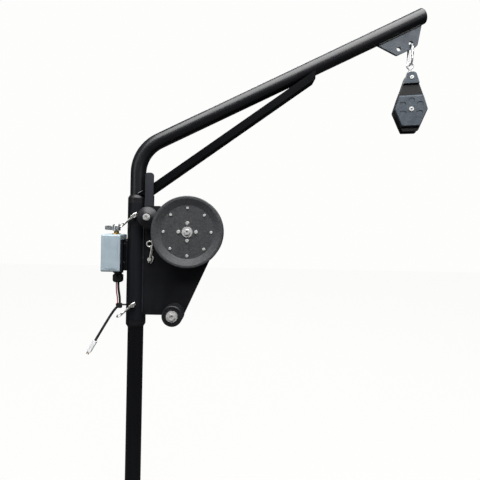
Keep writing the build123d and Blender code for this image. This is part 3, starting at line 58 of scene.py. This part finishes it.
def new_finish(name, metallic=0.0, gloss=0.5):
    """A new material whose even values sit on its shader."""
    material = bpy.data.materials.new(name)
    material.use_nodes = True
    shader_of(material).inputs["Metallic"].default_value = metallic
    shader_of(material).inputs["Specular IOR Level"].default_value = gloss
    return material


def grain(material, cells, detail=3.0, stretch=(1, 1, 1)):
    """Noise on the piece's own coordinates, with so many cells to the metre."""
    tree = material.node_tree
    where = tree.nodes.new("ShaderNodeTexCoord")
    place = tree.nodes.new("ShaderNodeMapping")
    place.inputs["Scale"].default_value = stretch
    noise = tree.nodes.new("ShaderNodeTexNoise")
    noise.inputs["Scale"].default_value = cells
    noise.inputs["Detail"].default_value = detail
    tree.links.new(where.outputs["Object"], place.inputs["Vector"])
    tree.links.new(place.outputs["Vector"], noise.inputs["Vector"])
    return noise.outputs["Fac"]


def tint(material, pattern, dark, light, low=0.35, high=0.65):
    """Spreads the base colour between two shades by a pattern."""
    tree = material.node_tree
    ramp = tree.nodes.new("ShaderNodeValToRGB")
    ramp.color_ramp.elements[0].position = low
    ramp.color_ramp.elements[0].color = (*dark, 1)
    ramp.color_ramp.elements[1].position = high
    ramp.color_ramp.elements[1].color = (*light, 1)
    tree.links.new(pattern, ramp.inputs["Fac"])
    tree.links.new(ramp.outputs["Color"], shader_of(material).inputs["Base Color"])


def rub(material, pattern, smooth, rough):
    """Spreads the roughness between two values by the middle part of a pattern."""
    tree = material.node_tree
    span = tree.nodes.new("ShaderNodeMapRange")
    span.inputs["From Min"].default_value = 0.3
    span.inputs["From Max"].default_value = 0.7
    span.inputs["To Min"].default_value = smooth
    span.inputs["To Max"].default_value = rough
    tree.links.new(pattern, span.inputs["Value"])
    tree.links.new(span.outputs["Result"], shader_of(material).inputs["Roughness"])


def emboss(material, pattern, height):
    """Adds a pattern's relief, in metres, to what the surface already has."""
    tree = material.node_tree
    bump = tree.nodes.new("ShaderNodeBump")
    bump.inputs["Distance"].default_value = height
    normal = shader_of(material).inputs["Normal"]
    if normal.links:
        tree.links.new(normal.links[0].from_socket, bump.inputs["Normal"])
    tree.links.new(pattern, bump.inputs["Height"])
    tree.links.new(bump.outputs["Normal"], normal)


def wear(material, *names):
    """Gives CAD nodes a finish."""
    for name in names:
        mesh = nodes[name].data
        for place in range(len(mesh.materials)):
            mesh.materials[place] = material


def powder_coat(name, dark, light, smooth, rough, stretch=(1, 1, 1), gloss=0.2, skin=0.00003):
    """Satin powder coat: blotches of two blacks, uneven gloss and a fine skin on soft waves."""
    coat = new_finish(name, gloss=gloss)
    tint(coat, grain(coat, 14, 5, stretch), dark, light)
    rub(coat, grain(coat, 45, 4, stretch), smooth, rough)
    emboss(coat, grain(coat, 1400, 2), skin)
    emboss(coat, grain(coat, 90, 3), 2 * skin)
    return coat


mast_black = powder_coat(
    "mast_black", (0.0018, 0.002, 0.003), (0.005, 0.0055, 0.007), 0.36, 0.5, stretch=(1, 1, 0.12)
)
wear(mast_black, "mast_tube")

# ---- sleeve and box bracket ----
# A shorter length of 60.3 mm pipe that locks mast and arm together, with the switch box's bracket
# welded to its left. Same coat, streaked lengthwise by the gun that sprayed it.
sleeve_black = powder_coat(
    "sleeve_black", (0.002, 0.0025, 0.0035), (0.008, 0.009, 0.012), 0.36, 0.52, stretch=(1, 1, 0.04)
)
wear(sleeve_black, "sleeve_tube", "box_bracket")

# ---- davit arm and brace ----
# One pipe bent to a shoulder and sloping up to the tip, with a flat-walled tube coped under it as
# a brace. The arm's coat is smoother than the mast's and takes a broad soft highlight along its
# upper side. The brace is dull, and its colour is painted shade, nearly black for the shade it
# hangs in.
arm_black = powder_coat(
    "arm_black", (0.003, 0.0035, 0.0045), (0.006, 0.0065, 0.008), 0.30, 0.38,
    stretch=(0.3, 1, 1), gloss=0.45, skin=0.00001,
)
wear(arm_black, "davit_arm")
# Painted shade: the same coat as the arm's, coloured darker for the shade under the arm.
brace_painted_shade_black = powder_coat(
    "brace_painted_shade_black", (0.0010, 0.0012, 0.0016), (0.0022, 0.0024, 0.003), 0.5, 0.62, gloss=0.04
)
wear(brace_painted_shade_black, "arm_brace")

# ---- hauler plate and stripper ----
# 8 mm steel plate that carries rollers, wheel and gearbox, cut by plasma and coated matt black,
# and the thin blade behind the top roller that strips the line from the wheel. The coat's texture
# is a little coarser than on the pipes.
plate_black = powder_coat(
    "plate_black", (0.003, 0.0033, 0.0045), (0.007, 0.0075, 0.0095), 0.42, 0.58
)
wear(plate_black, "hauler_plate", "line_stripper")

# ---- tip plate ----
# 8 mm plate with two rigging holes, welded under the arm's end. Its colour is a painted reflection,
# grey for the light its flat faces catch; the shader adds a little metallic sheen.
TIP_SHEEN = 0.2
# Painted reflection: the grey colour stands in for light caught on a black coat.
tip_painted_lit_grey = powder_coat("tip_painted_lit_grey", (0.044, 0.052, 0.062), (0.063, 0.073, 0.084), 0.38, 0.5)
shader_of(tip_painted_lit_grey).inputs["Metallic"].default_value = TIP_SHEEN
wear(tip_painted_lit_grey, "tip_plate")


# ---- weld beads ----
# Fillet welds laid by hand under the coat: one down each joint of plate, tip plate and bracket,
# and one round each end of the brace. Every few millimetres the pool has left a ripple.
RIPPLE = 0.0045           # length of one ripple
RIPPLE_WAIST = 0.8        # radius between two ripples, as a share of the bead's
BEAD_TIP = 0.35           # radius at either end, as a share of the bead's
BEAD_SIDES = 10
CURVE_STEPS = 24          # on a bead that goes round a pipe
PROUD = 0.0006            # how far a straight bead's middle stands out of its corner
# Partly painted highlight: the beads carry the same black coat, tinted lighter for the light their
# crowns catch.
bead_painted_highlight_black = powder_coat(
    "bead_painted_highlight_black", (0.006, 0.0065, 0.008), (0.016, 0.017, 0.02), 0.3, 0.42, gloss=0.5
)


def run_of(points, step):
    """Points about a step apart along straight runs."""
    places = []
    for start, end in zip(points, points[1:]):
        count = max(1, round((end - start).length / step))
        places += [start.lerp(end, number / count) for number in range(count)]
    return places + [points[-1]]


def weld_bead(name, points, radius):
    """A rippled bead through these points, closed at both ends."""
    shape = bmesh.new()
    places = run_of([Vector(point) for point in points], RIPPLE / 2)
    rings = []
    for number, place in enumerate(places):
        ahead = places[min(number + 1, len(places) - 1)] - places[max(number - 1, 0)]
        turn = ahead.to_track_quat("Z", "Y").to_matrix().to_4x4()
        size = radius if number % 2 else RIPPLE_WAIST * radius
        if number in (0, len(places) - 1):
            size = BEAD_TIP * radius
        ring = bmesh.ops.create_circle(
            shape, cap_ends=False, segments=BEAD_SIDES, radius=size,
            matrix=Matrix.Translation(place) @ turn,
        )
        rings.append(list({edge for vert in ring["verts"] for edge in vert.link_edges}))
    for before, after in zip(rings, rings[1:]):
        bmesh.ops.bridge_loops(shape, edges=before + after)
    bmesh.ops.holes_fill(shape, edges=rings[0] + rings[-1], sides=BEAD_SIDES)
    bmesh.ops.recalc_face_normals(shape, faces=shape.faces)
    for face in shape.faces:
        face.smooth = True
    mesh = bpy.data.meshes.new(name)
    shape.to_mesh(mesh)
    shape.free()
    mesh.materials.append(bead_painted_highlight_black)
    bead = bpy.data.objects.new(name, mesh)
    bpy.context.scene.collection.objects.link(bead)
    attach(bead, "frame")


PLATE_BEAD = 0.0028       # radius of a bead
PLATE_BEAD_START = 0.024  # above the plate's lower edge
PLATE_BEAD_STOP = 0.004   # below its upper edge
plate_low, plate_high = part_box("hauler_plate")
sleeve_low, sleeve_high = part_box("sleeve_tube")
sleeve_radius = (sleeve_high[0] - sleeve_low[0]) / 2
for side, word, face_y in ((-1, "front", plate_low[1]), (1, "back", plate_high[1])):
    seam_x = math.sqrt(sleeve_radius**2 - face_y**2)
    weld_bead("plate_%s_weld" % word, [
        (seam_x + PROUD, face_y + side * PROUD, plate_low[2] + PLATE_BEAD_START),
        (seam_x + PROUD, face_y + side * PROUD, plate_high[2] - PLATE_BEAD_STOP),
    ], PLATE_BEAD)

WEB_HALF = 0.010          # half the width of the bracket's web
WEB_BEAD = 0.0025
WEB_BEAD_INSET = 0.002    # from the web's ends
bracket_low, bracket_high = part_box("box_bracket")
seam_x = -math.sqrt(sleeve_radius**2 - WEB_HALF**2)
for side, word in ((-1, "front"), (1, "back")):
    weld_bead("bracket_%s_weld" % word, [
        (seam_x - PROUD, side * (WEB_HALF + PROUD), bracket_low[2] + WEB_BEAD_INSET),
        (seam_x - PROUD, side * (WEB_HALF + PROUD), bracket_high[2] - WEB_BEAD_INSET),
    ], WEB_BEAD)

# The arm's line, from where it crosses the leg's, for the welds that lie along it.
ARM_SLOPE = math.radians(26.5)
PIPE_RADIUS = 0.02415
arm_foot = Vector((0, 0, 1.084))
arm_along = Vector((math.cos(ARM_SLOPE), 0, math.sin(ARM_SLOPE)))
arm_down = Vector((math.sin(ARM_SLOPE), 0, -math.cos(ARM_SLOPE)))


def on_arm(along, down, across):
    return arm_foot + arm_along * along + arm_down * down + Vector((0, across, 0))


TIP_BEAD = 0.0026
TIP_BEAD_START, TIP_BEAD_STOP = 0.824, 0.974    # along the arm
TIP_BEAD_DOWN = PIPE_RADIUS + 0.0004
TIP_BEAD_ACROSS = 0.0046                        # just outside the tip plate's faces
for side, word in ((-1, "front"), (1, "back")):
    weld_bead("tip_%s_weld" % word, [
        on_arm(TIP_BEAD_START, TIP_BEAD_DOWN, side * TIP_BEAD_ACROSS),
        on_arm(TIP_BEAD_STOP, TIP_BEAD_DOWN, side * TIP_BEAD_ACROSS),
    ], TIP_BEAD)

# The brace's upper wall lies on a plane of its own slope, so its welds follow where that plane
# cuts the leg and the arm.
BRACE_BEAD = 0.003
BRACE_PROUD = 0.0005      # how far its middle stands out of the pipe
BRACE_BEAD_SHIFT = 0.001  # off the wall's edge, up the leg and back along the arm
BRACE_RISE = math.tan(math.radians(36))
FOOT_REACH, HEAD_REACH = 82, 48                 # degrees of pipe to either side
WALL_FOOT_X = 0.0029      # where the wall's plane meets the level of the brace's foot
wall_foot = Vector((WALL_FOOT_X, 0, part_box("arm_brace")[0][2]))
foot_weld = []
for number in range(CURVE_STEPS + 1):
    angle = math.radians(-FOOT_REACH + number * 2 * FOOT_REACH / CURVE_STEPS)
    x = PIPE_RADIUS * math.cos(angle)
    z = wall_foot.z + (x - wall_foot.x) * BRACE_RISE + BRACE_BEAD_SHIFT
    foot_weld.append((x + BRACE_PROUD, PIPE_RADIUS * math.sin(angle), z))
weld_bead("brace_foot_weld", foot_weld, BRACE_BEAD)

head_rise = arm_along.z - BRACE_RISE * arm_along.x
head_drop = arm_down.z - BRACE_RISE * arm_down.x
head_level = arm_foot.z - wall_foot.z + BRACE_RISE * wall_foot.x
head_weld = []
for number in range(CURVE_STEPS + 1):
    angle = math.radians(-HEAD_REACH + number * 2 * HEAD_REACH / CURVE_STEPS)
    across = PIPE_RADIUS * math.sin(angle)
    down = math.sqrt(PIPE_RADIUS**2 - across**2)
    along = -(head_level + head_drop * down) / head_rise
    head_weld.append(on_arm(along - BRACE_BEAD_SHIFT, down + BRACE_PROUD, across))
weld_bead("brace_head_weld", head_weld, BRACE_BEAD)

# ---- bushes and end cap ----
# Black moulded plastic: a flanged bush in each end of the sleeve and a plug in the arm's end.
# Moulded faces are even and half dull, and lines of wear run round the bushes.
bush_black = new_finish("bush_black", gloss=0.3)
tint(bush_black, grain(bush_black, 30, 4, (1, 1, 4)), (0.004, 0.004, 0.005), (0.008, 0.008, 0.010))
rub(bush_black, grain(bush_black, 80, 3, (1, 1, 6)), 0.32, 0.5)
emboss(bush_black, grain(bush_black, 700, 2), 0.00004)
wear(bush_black, "upper_bush", "lower_bush", "arm_end_cap")

# ---- guide post ----
# A dark grey bar of cast nylon, sawn and rounded at the top, that keeps the line on the wheel.
# Its faces keep a faint lengthwise grain from the saw.
post_grey = new_finish("post_grey", gloss=0.3)
SAWN = (1, 1, 0.15)       # stretches the blotches along the bar
tint(post_grey, grain(post_grey, 40, 4, SAWN), (0.011, 0.0125, 0.016), (0.0165, 0.019, 0.0245))
rub(post_grey, grain(post_grey, 120, 3, (1, 1, 0.1)), 0.42, 0.6)
emboss(post_grey, grain(post_grey, 400, 3, (1, 1, 0.08)), 0.00008)
wear(post_grey, "guide_post")

# ---- rollers ----
# Two waisted rollers turned from black plastic, bored to run on their bolts. The turning tool has
# left rings too fine to see one by one, and the rope has polished the waists.
roller_black = new_finish("roller_black", gloss=0.35)
tint(roller_black, grain(roller_black, 60, 4), (0.006, 0.006, 0.007), (0.014, 0.0145, 0.017))
rub(roller_black, grain(roller_black, 70, 4, (1, 6, 1)), 0.3, 0.52)
emboss(roller_black, grain(roller_black, 300, 2, (1, 6, 1)), 0.00006)
wear(roller_black, "top_roller", "lower_roller")

# ---- hauling wheel ----
# Two dished flanges turned from black plastic, screwed back to back so that they pinch the rope.
# Their faces are mottled grey by rope dust, salt and rubbing.
wheel_black = new_finish("wheel_black", gloss=0.4)
tint(
    wheel_black, grain(wheel_black, 260, 8),
    (0.030, 0.031, 0.033), (0.050, 0.052, 0.055), low=0.40, high=0.60,
)
rub(wheel_black, grain(wheel_black, 90, 5), 0.36, 0.58)
emboss(wheel_black, grain(wheel_black, 260, 4), 0.00016)
wear(wheel_black, "wheel_front_flange", "wheel_rear_flange")

# ---- stainless fasteners and hub ----
# Bought screws, bolts, washers and bearings and a turned hub, all bare stainless steel. Their
# brushed faces scatter the light a little unevenly.
stainless = new_finish("stainless", metallic=0.45)
tint(stainless, grain(stainless, 160, 4), (0.50, 0.50, 0.49), (0.64, 0.64, 0.63))
rub(stainless, grain(stainless, 220, 3, (1, 1, 4)), 0.2, 0.42)
emboss(stainless, grain(stainless, 900, 2, (1, 1, 6)), 0.00003)
for row in frame["record"]["subparts"]:
    if row["material_slot"] == "stainless":
        wear(stainless, row["node"])

# ---- hitch pins and hairpin clips ----
# Turned pins and bent spring wire, zinc plated and gone slightly dull. Two pins lock mast, sleeve
# and arm, one is parked in the plate, and a clip holds each.
zinc = new_finish("zinc", metallic=0.6)
tint(zinc, grain(zinc, 200, 5), (0.66, 0.64, 0.59), (0.90, 0.89, 0.86))
rub(zinc, grain(zinc, 260, 4), 0.24, 0.48)
emboss(zinc, grain(zinc, 800, 2), 0.00004)
wear(zinc, "hitch_pins", "hairpin_clips")

# ---- carabiner and swivel eye ----
# Drawn and polished steel: the carabiner hangs in the tip plate's outer hole, and the block's eye
# hangs in the carabiner. Both are bright, with fine scratches where they rub.
polished = new_finish("polished", metallic=0.7)
tint(polished, grain(polished, 180, 4), (0.44, 0.44, 0.45), (0.64, 0.64, 0.65))
rub(polished, grain(polished, 300, 4), 0.16, 0.34)
emboss(polished, grain(polished, 700, 2), 0.00003)
wear(polished, "carabiner_body", "carabiner_gate", "swivel_eye")

# ---- block ----
# Two moulded cheeks round a plastic sheave, riveted together. The cheeks are near-black nearer
# their middle plane than the covers' level, and the raised cover and the tab above it are slate
# grey, with a pebbled skin.
BLOCK_YAW = math.radians(12)
COVER_LEVEL = 0.0192      # from the block's middle plane to where the covers begin
block_axis = Vector((-math.sin(BLOCK_YAW), -math.cos(BLOCK_YAW), 0))
eye_low, eye_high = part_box("swivel_eye")
block_middle = (eye_low[0] + eye_high[0]) / 2 * block_axis.x
block_shell = new_finish("block_shell", gloss=0.3)
tree = block_shell.node_tree
slate = tree.nodes.new("ShaderNodeValToRGB")
slate.color_ramp.elements[0].position = 0.35
slate.color_ramp.elements[0].color = (0.035, 0.045, 0.056, 1)
slate.color_ramp.elements[1].position = 0.65
slate.color_ramp.elements[1].color = (0.053, 0.065, 0.079, 1)
tree.links.new(grain(block_shell, 50, 5), slate.inputs["Fac"])
where = tree.nodes.new("ShaderNodeTexCoord")
across = tree.nodes.new("ShaderNodeVectorMath")
across.operation = "DOT_PRODUCT"
across.inputs[1].default_value = block_axis
centred = tree.nodes.new("ShaderNodeMath")
centred.operation = "SUBTRACT"
centred.inputs[1].default_value = block_middle
outward = tree.nodes.new("ShaderNodeMath")
outward.operation = "ABSOLUTE"
is_cover = tree.nodes.new("ShaderNodeMath")
is_cover.operation = "GREATER_THAN"
is_cover.inputs[1].default_value = COVER_LEVEL
# Near-black wherever the surface lies nearer the middle plane than the covers' level, slate grey
# beyond.
depth_split_tone = tree.nodes.new("ShaderNodeMix")
depth_split_tone.data_type = "RGBA"
depth_split_tone.inputs["A"].default_value = (0.0012, 0.0014, 0.002, 1)
tree.links.new(where.outputs["Object"], across.inputs[0])
tree.links.new(across.outputs["Value"], centred.inputs[0])
tree.links.new(centred.outputs[0], outward.inputs[0])
tree.links.new(outward.outputs[0], is_cover.inputs[0])
tree.links.new(is_cover.outputs[0], depth_split_tone.inputs["Factor"])
tree.links.new(slate.outputs["Color"], depth_split_tone.inputs["B"])
tree.links.new(depth_split_tone.outputs["Result"], shader_of(block_shell).inputs["Base Color"])
rub(block_shell, grain(block_shell, 90, 4), 0.38, 0.55)
emboss(block_shell, grain(block_shell, 900, 2), 0.00005)
wear(block_shell, "block_front_cheek", "block_rear_cheek")

sheave_black = new_finish("sheave_black")
tint(sheave_black, grain(sheave_black, 60, 4), (0.014, 0.014, 0.016), (0.03, 0.031, 0.033))
rub(sheave_black, grain(sheave_black, 80, 3), 0.3, 0.5)
emboss(sheave_black, grain(sheave_black, 500, 2), 0.00005)
wear(sheave_black, "block_sheave")

# ---- switch box ----
# A small cast box and its lid in light blue-grey enamel, with raised rounded panels. The enamel
# has pooled unevenly and carries a faint casting skin.
box_blue = new_finish("box_blue", gloss=0.4)
tint(box_blue, grain(box_blue, 35, 5), (0.285, 0.35, 0.39), (0.34, 0.405, 0.45))
rub(box_blue, grain(box_blue, 60, 4), 0.26, 0.42)
emboss(box_blue, grain(box_blue, 240, 3), 0.00012)
wear(box_blue, "box_body", "box_cover")

# ---- switch, nut and lever ----
# A rotary switch in black plastic inside the box, clamped by a brass nut on its neck. The lever on
# its stem is cast and plated, smooth enough to mirror what stands round it.
switch_black = new_finish("switch_black")
tint(switch_black, grain(switch_black, 60, 4), (0.02, 0.02, 0.02), (0.04, 0.04, 0.04))
rub(switch_black, grain(switch_black, 90, 3), 0.4, 0.6)
emboss(switch_black, grain(switch_black, 500, 2), 0.00005)
wear(switch_black, "switch_body")

brass = new_finish("brass", metallic=1.0)
tint(brass, grain(brass, 150, 4), (0.72, 0.44, 0.11), (0.92, 0.64, 0.24))
rub(brass, grain(brass, 200, 3), 0.2, 0.38)
emboss(brass, grain(brass, 700, 2), 0.00004)
wear(brass, "switch_nut", "connector_contacts", "worm_wheel")

lever_plate = new_finish("lever_plate", metallic=0.9)
tint(lever_plate, grain(lever_plate, 110, 4), (0.48, 0.52, 0.54), (0.74, 0.77, 0.78))
rub(lever_plate, grain(lever_plate, 160, 3), 0.16, 0.36)
emboss(lever_plate, grain(lever_plate, 500, 2), 0.00005)
wear(lever_plate, "switch_lever")

# ---- gland ----
# A black nylon gland with a domed nut, screwed into the box's floor. It seals round the cable and
# the red wire.
gland_black = new_finish("gland_black", gloss=0.4)
tint(gland_black, grain(gland_black, 70, 4), (0.004, 0.004, 0.005), (0.012, 0.012, 0.014))
rub(gland_black, grain(gland_black, 100, 3), 0.32, 0.52)
emboss(gland_black, grain(gland_black, 400, 2), 0.00006)
wear(gland_black, "gland_body", "gland_nut")

# ---- cables, splice and connector ----
# PVC-sheathed cable and one red wire from the gland to a taped splice, a cable on to the motor,
# and a lead that hangs free and ends in a white nylon connector. Soft, half-dull sheaths.
jacket = new_finish("jacket")
tint(jacket, grain(jacket, 90, 4), (0.009, 0.009, 0.010), (0.022, 0.022, 0.024))
rub(jacket, grain(jacket, 140, 3), 0.26, 0.46)
emboss(jacket, grain(jacket, 600, 2), 0.00005)
wear(jacket, "cable_splice")

red_sheath = new_finish("red_sheath")
tint(red_sheath, grain(red_sheath, 120, 3), (0.34, 0.008, 0.02), (0.55, 0.018, 0.04))
rub(red_sheath, grain(red_sheath, 200, 3), 0.28, 0.46)
emboss(red_sheath, grain(red_sheath, 700, 2), 0.00003)

nylon = new_finish("nylon")
tint(nylon, grain(nylon, 100, 3), (0.70, 0.71, 0.72), (0.84, 0.85, 0.85))
rub(nylon, grain(nylon, 140, 3), 0.32, 0.5)
emboss(nylon, grain(nylon, 400, 2), 0.00006)
wear(nylon, "connector_shell")


ROUNDNESS = 6
STEPS_PER_SPAN = 16


def cable(name, points, diameter, material, stands_for):
    """A round cable on a smooth line through a route given in millimetres."""
    curve = bpy.data.curves.new(name, "CURVE")
    curve.dimensions = "3D"
    curve.bevel_depth = diameter / 2
    curve.bevel_resolution = ROUNDNESS
    curve.resolution_u = STEPS_PER_SPAN
    curve.use_fill_caps = True
    spline = curve.splines.new("NURBS")
    spline.points.add(len(points) - 1)
    for point, place in zip(spline.points, points):
        point.co = (*(value / 1000 for value in place), 1)
    spline.order_u = 3
    spline.use_endpoint_u = True
    curve.materials.append(material)
    piece = bpy.data.objects.new(name, curve)
    bpy.context.scene.collection.objects.link(piece)
    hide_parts(stands_for)
    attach(piece, "frame")
    return piece


SWITCH_CABLE_DIAMETER = 0.007
switch_line = cable(
    "switch_line",
    [(-60, 9, 667), (-60, 9, 651), (-59, 13, 634), (-57.2, 18, 613), (-57.2, 18, 597)],
    SWITCH_CABLE_DIAMETER, jacket, "switch_cable",
)

RED_WIRE_DIAMETER = 0.0036
red_line = cable(
    "red_line",
    [(-65.5, 6, 667), (-65.5, 6, 655), (-66, 10, 636), (-64.4, 18, 612), (-64.4, 18, 597)],
    RED_WIRE_DIAMETER, red_sheath, "red_wire",
)

MOTOR_CABLE_DIAMETER = 0.0055
motor_line = cable(
    "motor_line",
    [
        (-51, 18, 593), (-37, 18, 593), (-22, 26, 593.5), (-7, 39, 594), (12, 45.5, 594.5),
        (44, 46, 592), (76, 41, 589), (101.5, 31, 593), (114.5, 28, 604), (114.5, 28, 621.6),
    ],
    MOTOR_CABLE_DIAMETER, jacket, "motor_cable",
)

LEAD_DIAMETER = 0.008
supply_line = cable(
    "supply_line",
    [(-64, 18, 587), (-76, 18, 575), (-99, 14, 535), (-130.5, 10, 478.5)],
    LEAD_DIAMETER, jacket, "supply_lead",
)

# ---- motor and gearbox ----
# A motor in a black enamelled can hangs behind the plate and drives the wheel through a cast
# aluminium worm gearbox with a sand-cast skin.
motor_black = new_finish("motor_black")
tint(motor_black, grain(motor_black, 30, 4), (0.010, 0.010, 0.011), (0.022, 0.022, 0.024))
rub(motor_black, grain(motor_black, 50, 4), 0.28, 0.45)
emboss(motor_black, grain(motor_black, 500, 2), 0.00005)
wear(motor_black, "motor_can", "motor_end_cap")

casting = new_finish("casting", metallic=0.9)
tint(casting, grain(casting, 60, 5), (0.36, 0.37, 0.38), (0.52, 0.53, 0.54))
rub(casting, grain(casting, 120, 4), 0.42, 0.62)
emboss(casting, grain(casting, 450, 4), 0.0002)
wear(casting, "gearbox_housing", "gearbox_cover")

# ---- floor, light and camera ----
# A plain pale floor that runs into the background, a broad light overhead, two soft ones in front
# and one high behind. Only a straight look finds floor and sky as bright as paper. What they throw
# on the paint is dim, so that black stays black.
FLOOR_HALF = 6.0
FLOOR_DIM = 0.08          # what the floor throws back
FLOOR_PALE = 0.02         # how much the lamps add to its own brightness
SKY_DIM = 0.08
PAPER_WHITE = (0.96, 0.96, 0.95)
SKY_WHITE = (0.985, 0.985, 0.975)
SKY_BLUE = (0.9, 0.95, 1.0)
mesh = bpy.data.meshes.new("floor")
shape = bmesh.new()
bmesh.ops.create_grid(shape, x_segments=1, y_segments=1, size=FLOOR_HALF)
shape.to_mesh(mesh)
shape.free()
floor = bpy.data.objects.new("floor", mesh)
bpy.context.scene.collection.objects.link(floor)

paper = bpy.data.materials.new("paper")
paper.use_nodes = True
tree = paper.node_tree
tree.nodes.clear()
out = tree.nodes.new("ShaderNodeOutputMaterial")
ray = tree.nodes.new("ShaderNodeLightPath")
mix = tree.nodes.new("ShaderNodeMixShader")
dim = tree.nodes.new("ShaderNodeBsdfDiffuse")
dim.inputs["Color"].default_value = (FLOOR_DIM, FLOOR_DIM, FLOOR_DIM, 1)
lit = tree.nodes.new("ShaderNodeAddShader")
pale = tree.nodes.new("ShaderNodeBsdfDiffuse")
pale.inputs["Color"].default_value = (FLOOR_PALE, FLOOR_PALE, FLOOR_PALE, 1)
glow = tree.nodes.new("ShaderNodeEmission")
glow.inputs["Color"].default_value = (*PAPER_WHITE, 1)
tree.links.new(pale.outputs[0], lit.inputs[0])
tree.links.new(glow.outputs[0], lit.inputs[1])
tree.links.new(ray.outputs["Is Camera Ray"], mix.inputs[0])
tree.links.new(dim.outputs[0], mix.inputs[1])
tree.links.new(lit.outputs[0], mix.inputs[2])
tree.links.new(mix.outputs[0], out.inputs["Surface"])
floor.data.materials.append(paper)

world = bpy.data.worlds.new("studio")
bpy.context.scene.world = world
world.use_nodes = True
tree = world.node_tree
tree.nodes.clear()
out = tree.nodes.new("ShaderNodeOutputWorld")
ray = tree.nodes.new("ShaderNodeLightPath")
mix = tree.nodes.new("ShaderNodeMixShader")
dim = tree.nodes.new("ShaderNodeBackground")
dim.inputs["Color"].default_value = (*SKY_BLUE, 1)
dim.inputs["Strength"].default_value = SKY_DIM
pale = tree.nodes.new("ShaderNodeBackground")
pale.inputs["Color"].default_value = (*SKY_WHITE, 1)
tree.links.new(ray.outputs["Is Camera Ray"], mix.inputs[0])
tree.links.new(dim.outputs[0], mix.inputs[1])
tree.links.new(pale.outputs[0], mix.inputs[2])
tree.links.new(mix.outputs[0], out.inputs["Surface"])


def soft_light(name, place, aim, width, height, power):
    """A rectangular lamp at a place, turned towards a point."""
    lamp = bpy.data.lights.new(name, "AREA")
    lamp.shape = "RECTANGLE"
    lamp.size = width
    lamp.size_y = height
    lamp.energy = power
    light = bpy.data.objects.new(name, lamp)
    light.location = place
    light.rotation_euler = (Vector(aim) - Vector(place)).to_track_quat("-Z", "Y").to_euler()
    bpy.context.scene.collection.objects.link(light)


soft_light(
    "overhead", place=(0.35, -0.95, 2.9), aim=(0.35, 0.0, 1.1), width=3.2, height=2.4, power=200
)
soft_light(
    "front_right", place=(2.2, -1.9, 1.6), aim=(0.4, 0.0, 1.0), width=1.0, height=1.6, power=3.5
)
soft_light(
    "front_left", place=(-1.9, -1.9, 1.3), aim=(0.0, 0.0, 0.8), width=0.9, height=1.6, power=8
)
soft_light(
    "rear", place=(0.5, 2.0, 2.9), aim=(0.3, 0.0, 0.9), width=2.0, height=1.2, power=30
)

EYE = (0.3175, -1.15, 0.858)
LENS = 27.3
SHIFT_RIGHT, SHIFT_UP = 0.004, -0.033
LEVEL, LEAN = math.radians(90), math.radians(-1.1)
camera_data = bpy.data.cameras.new("camera")
camera_data.lens = LENS
camera_data.shift_x = SHIFT_RIGHT
camera_data.shift_y = SHIFT_UP
camera = bpy.data.objects.new("camera", camera_data)
camera.location = EYE
camera.rotation_euler = (LEVEL, LEAN, 0)
bpy.context.scene.collection.objects.link(camera)
bpy.context.scene.camera = camera
bpy.context.scene.view_settings.view_transform = "Standard"
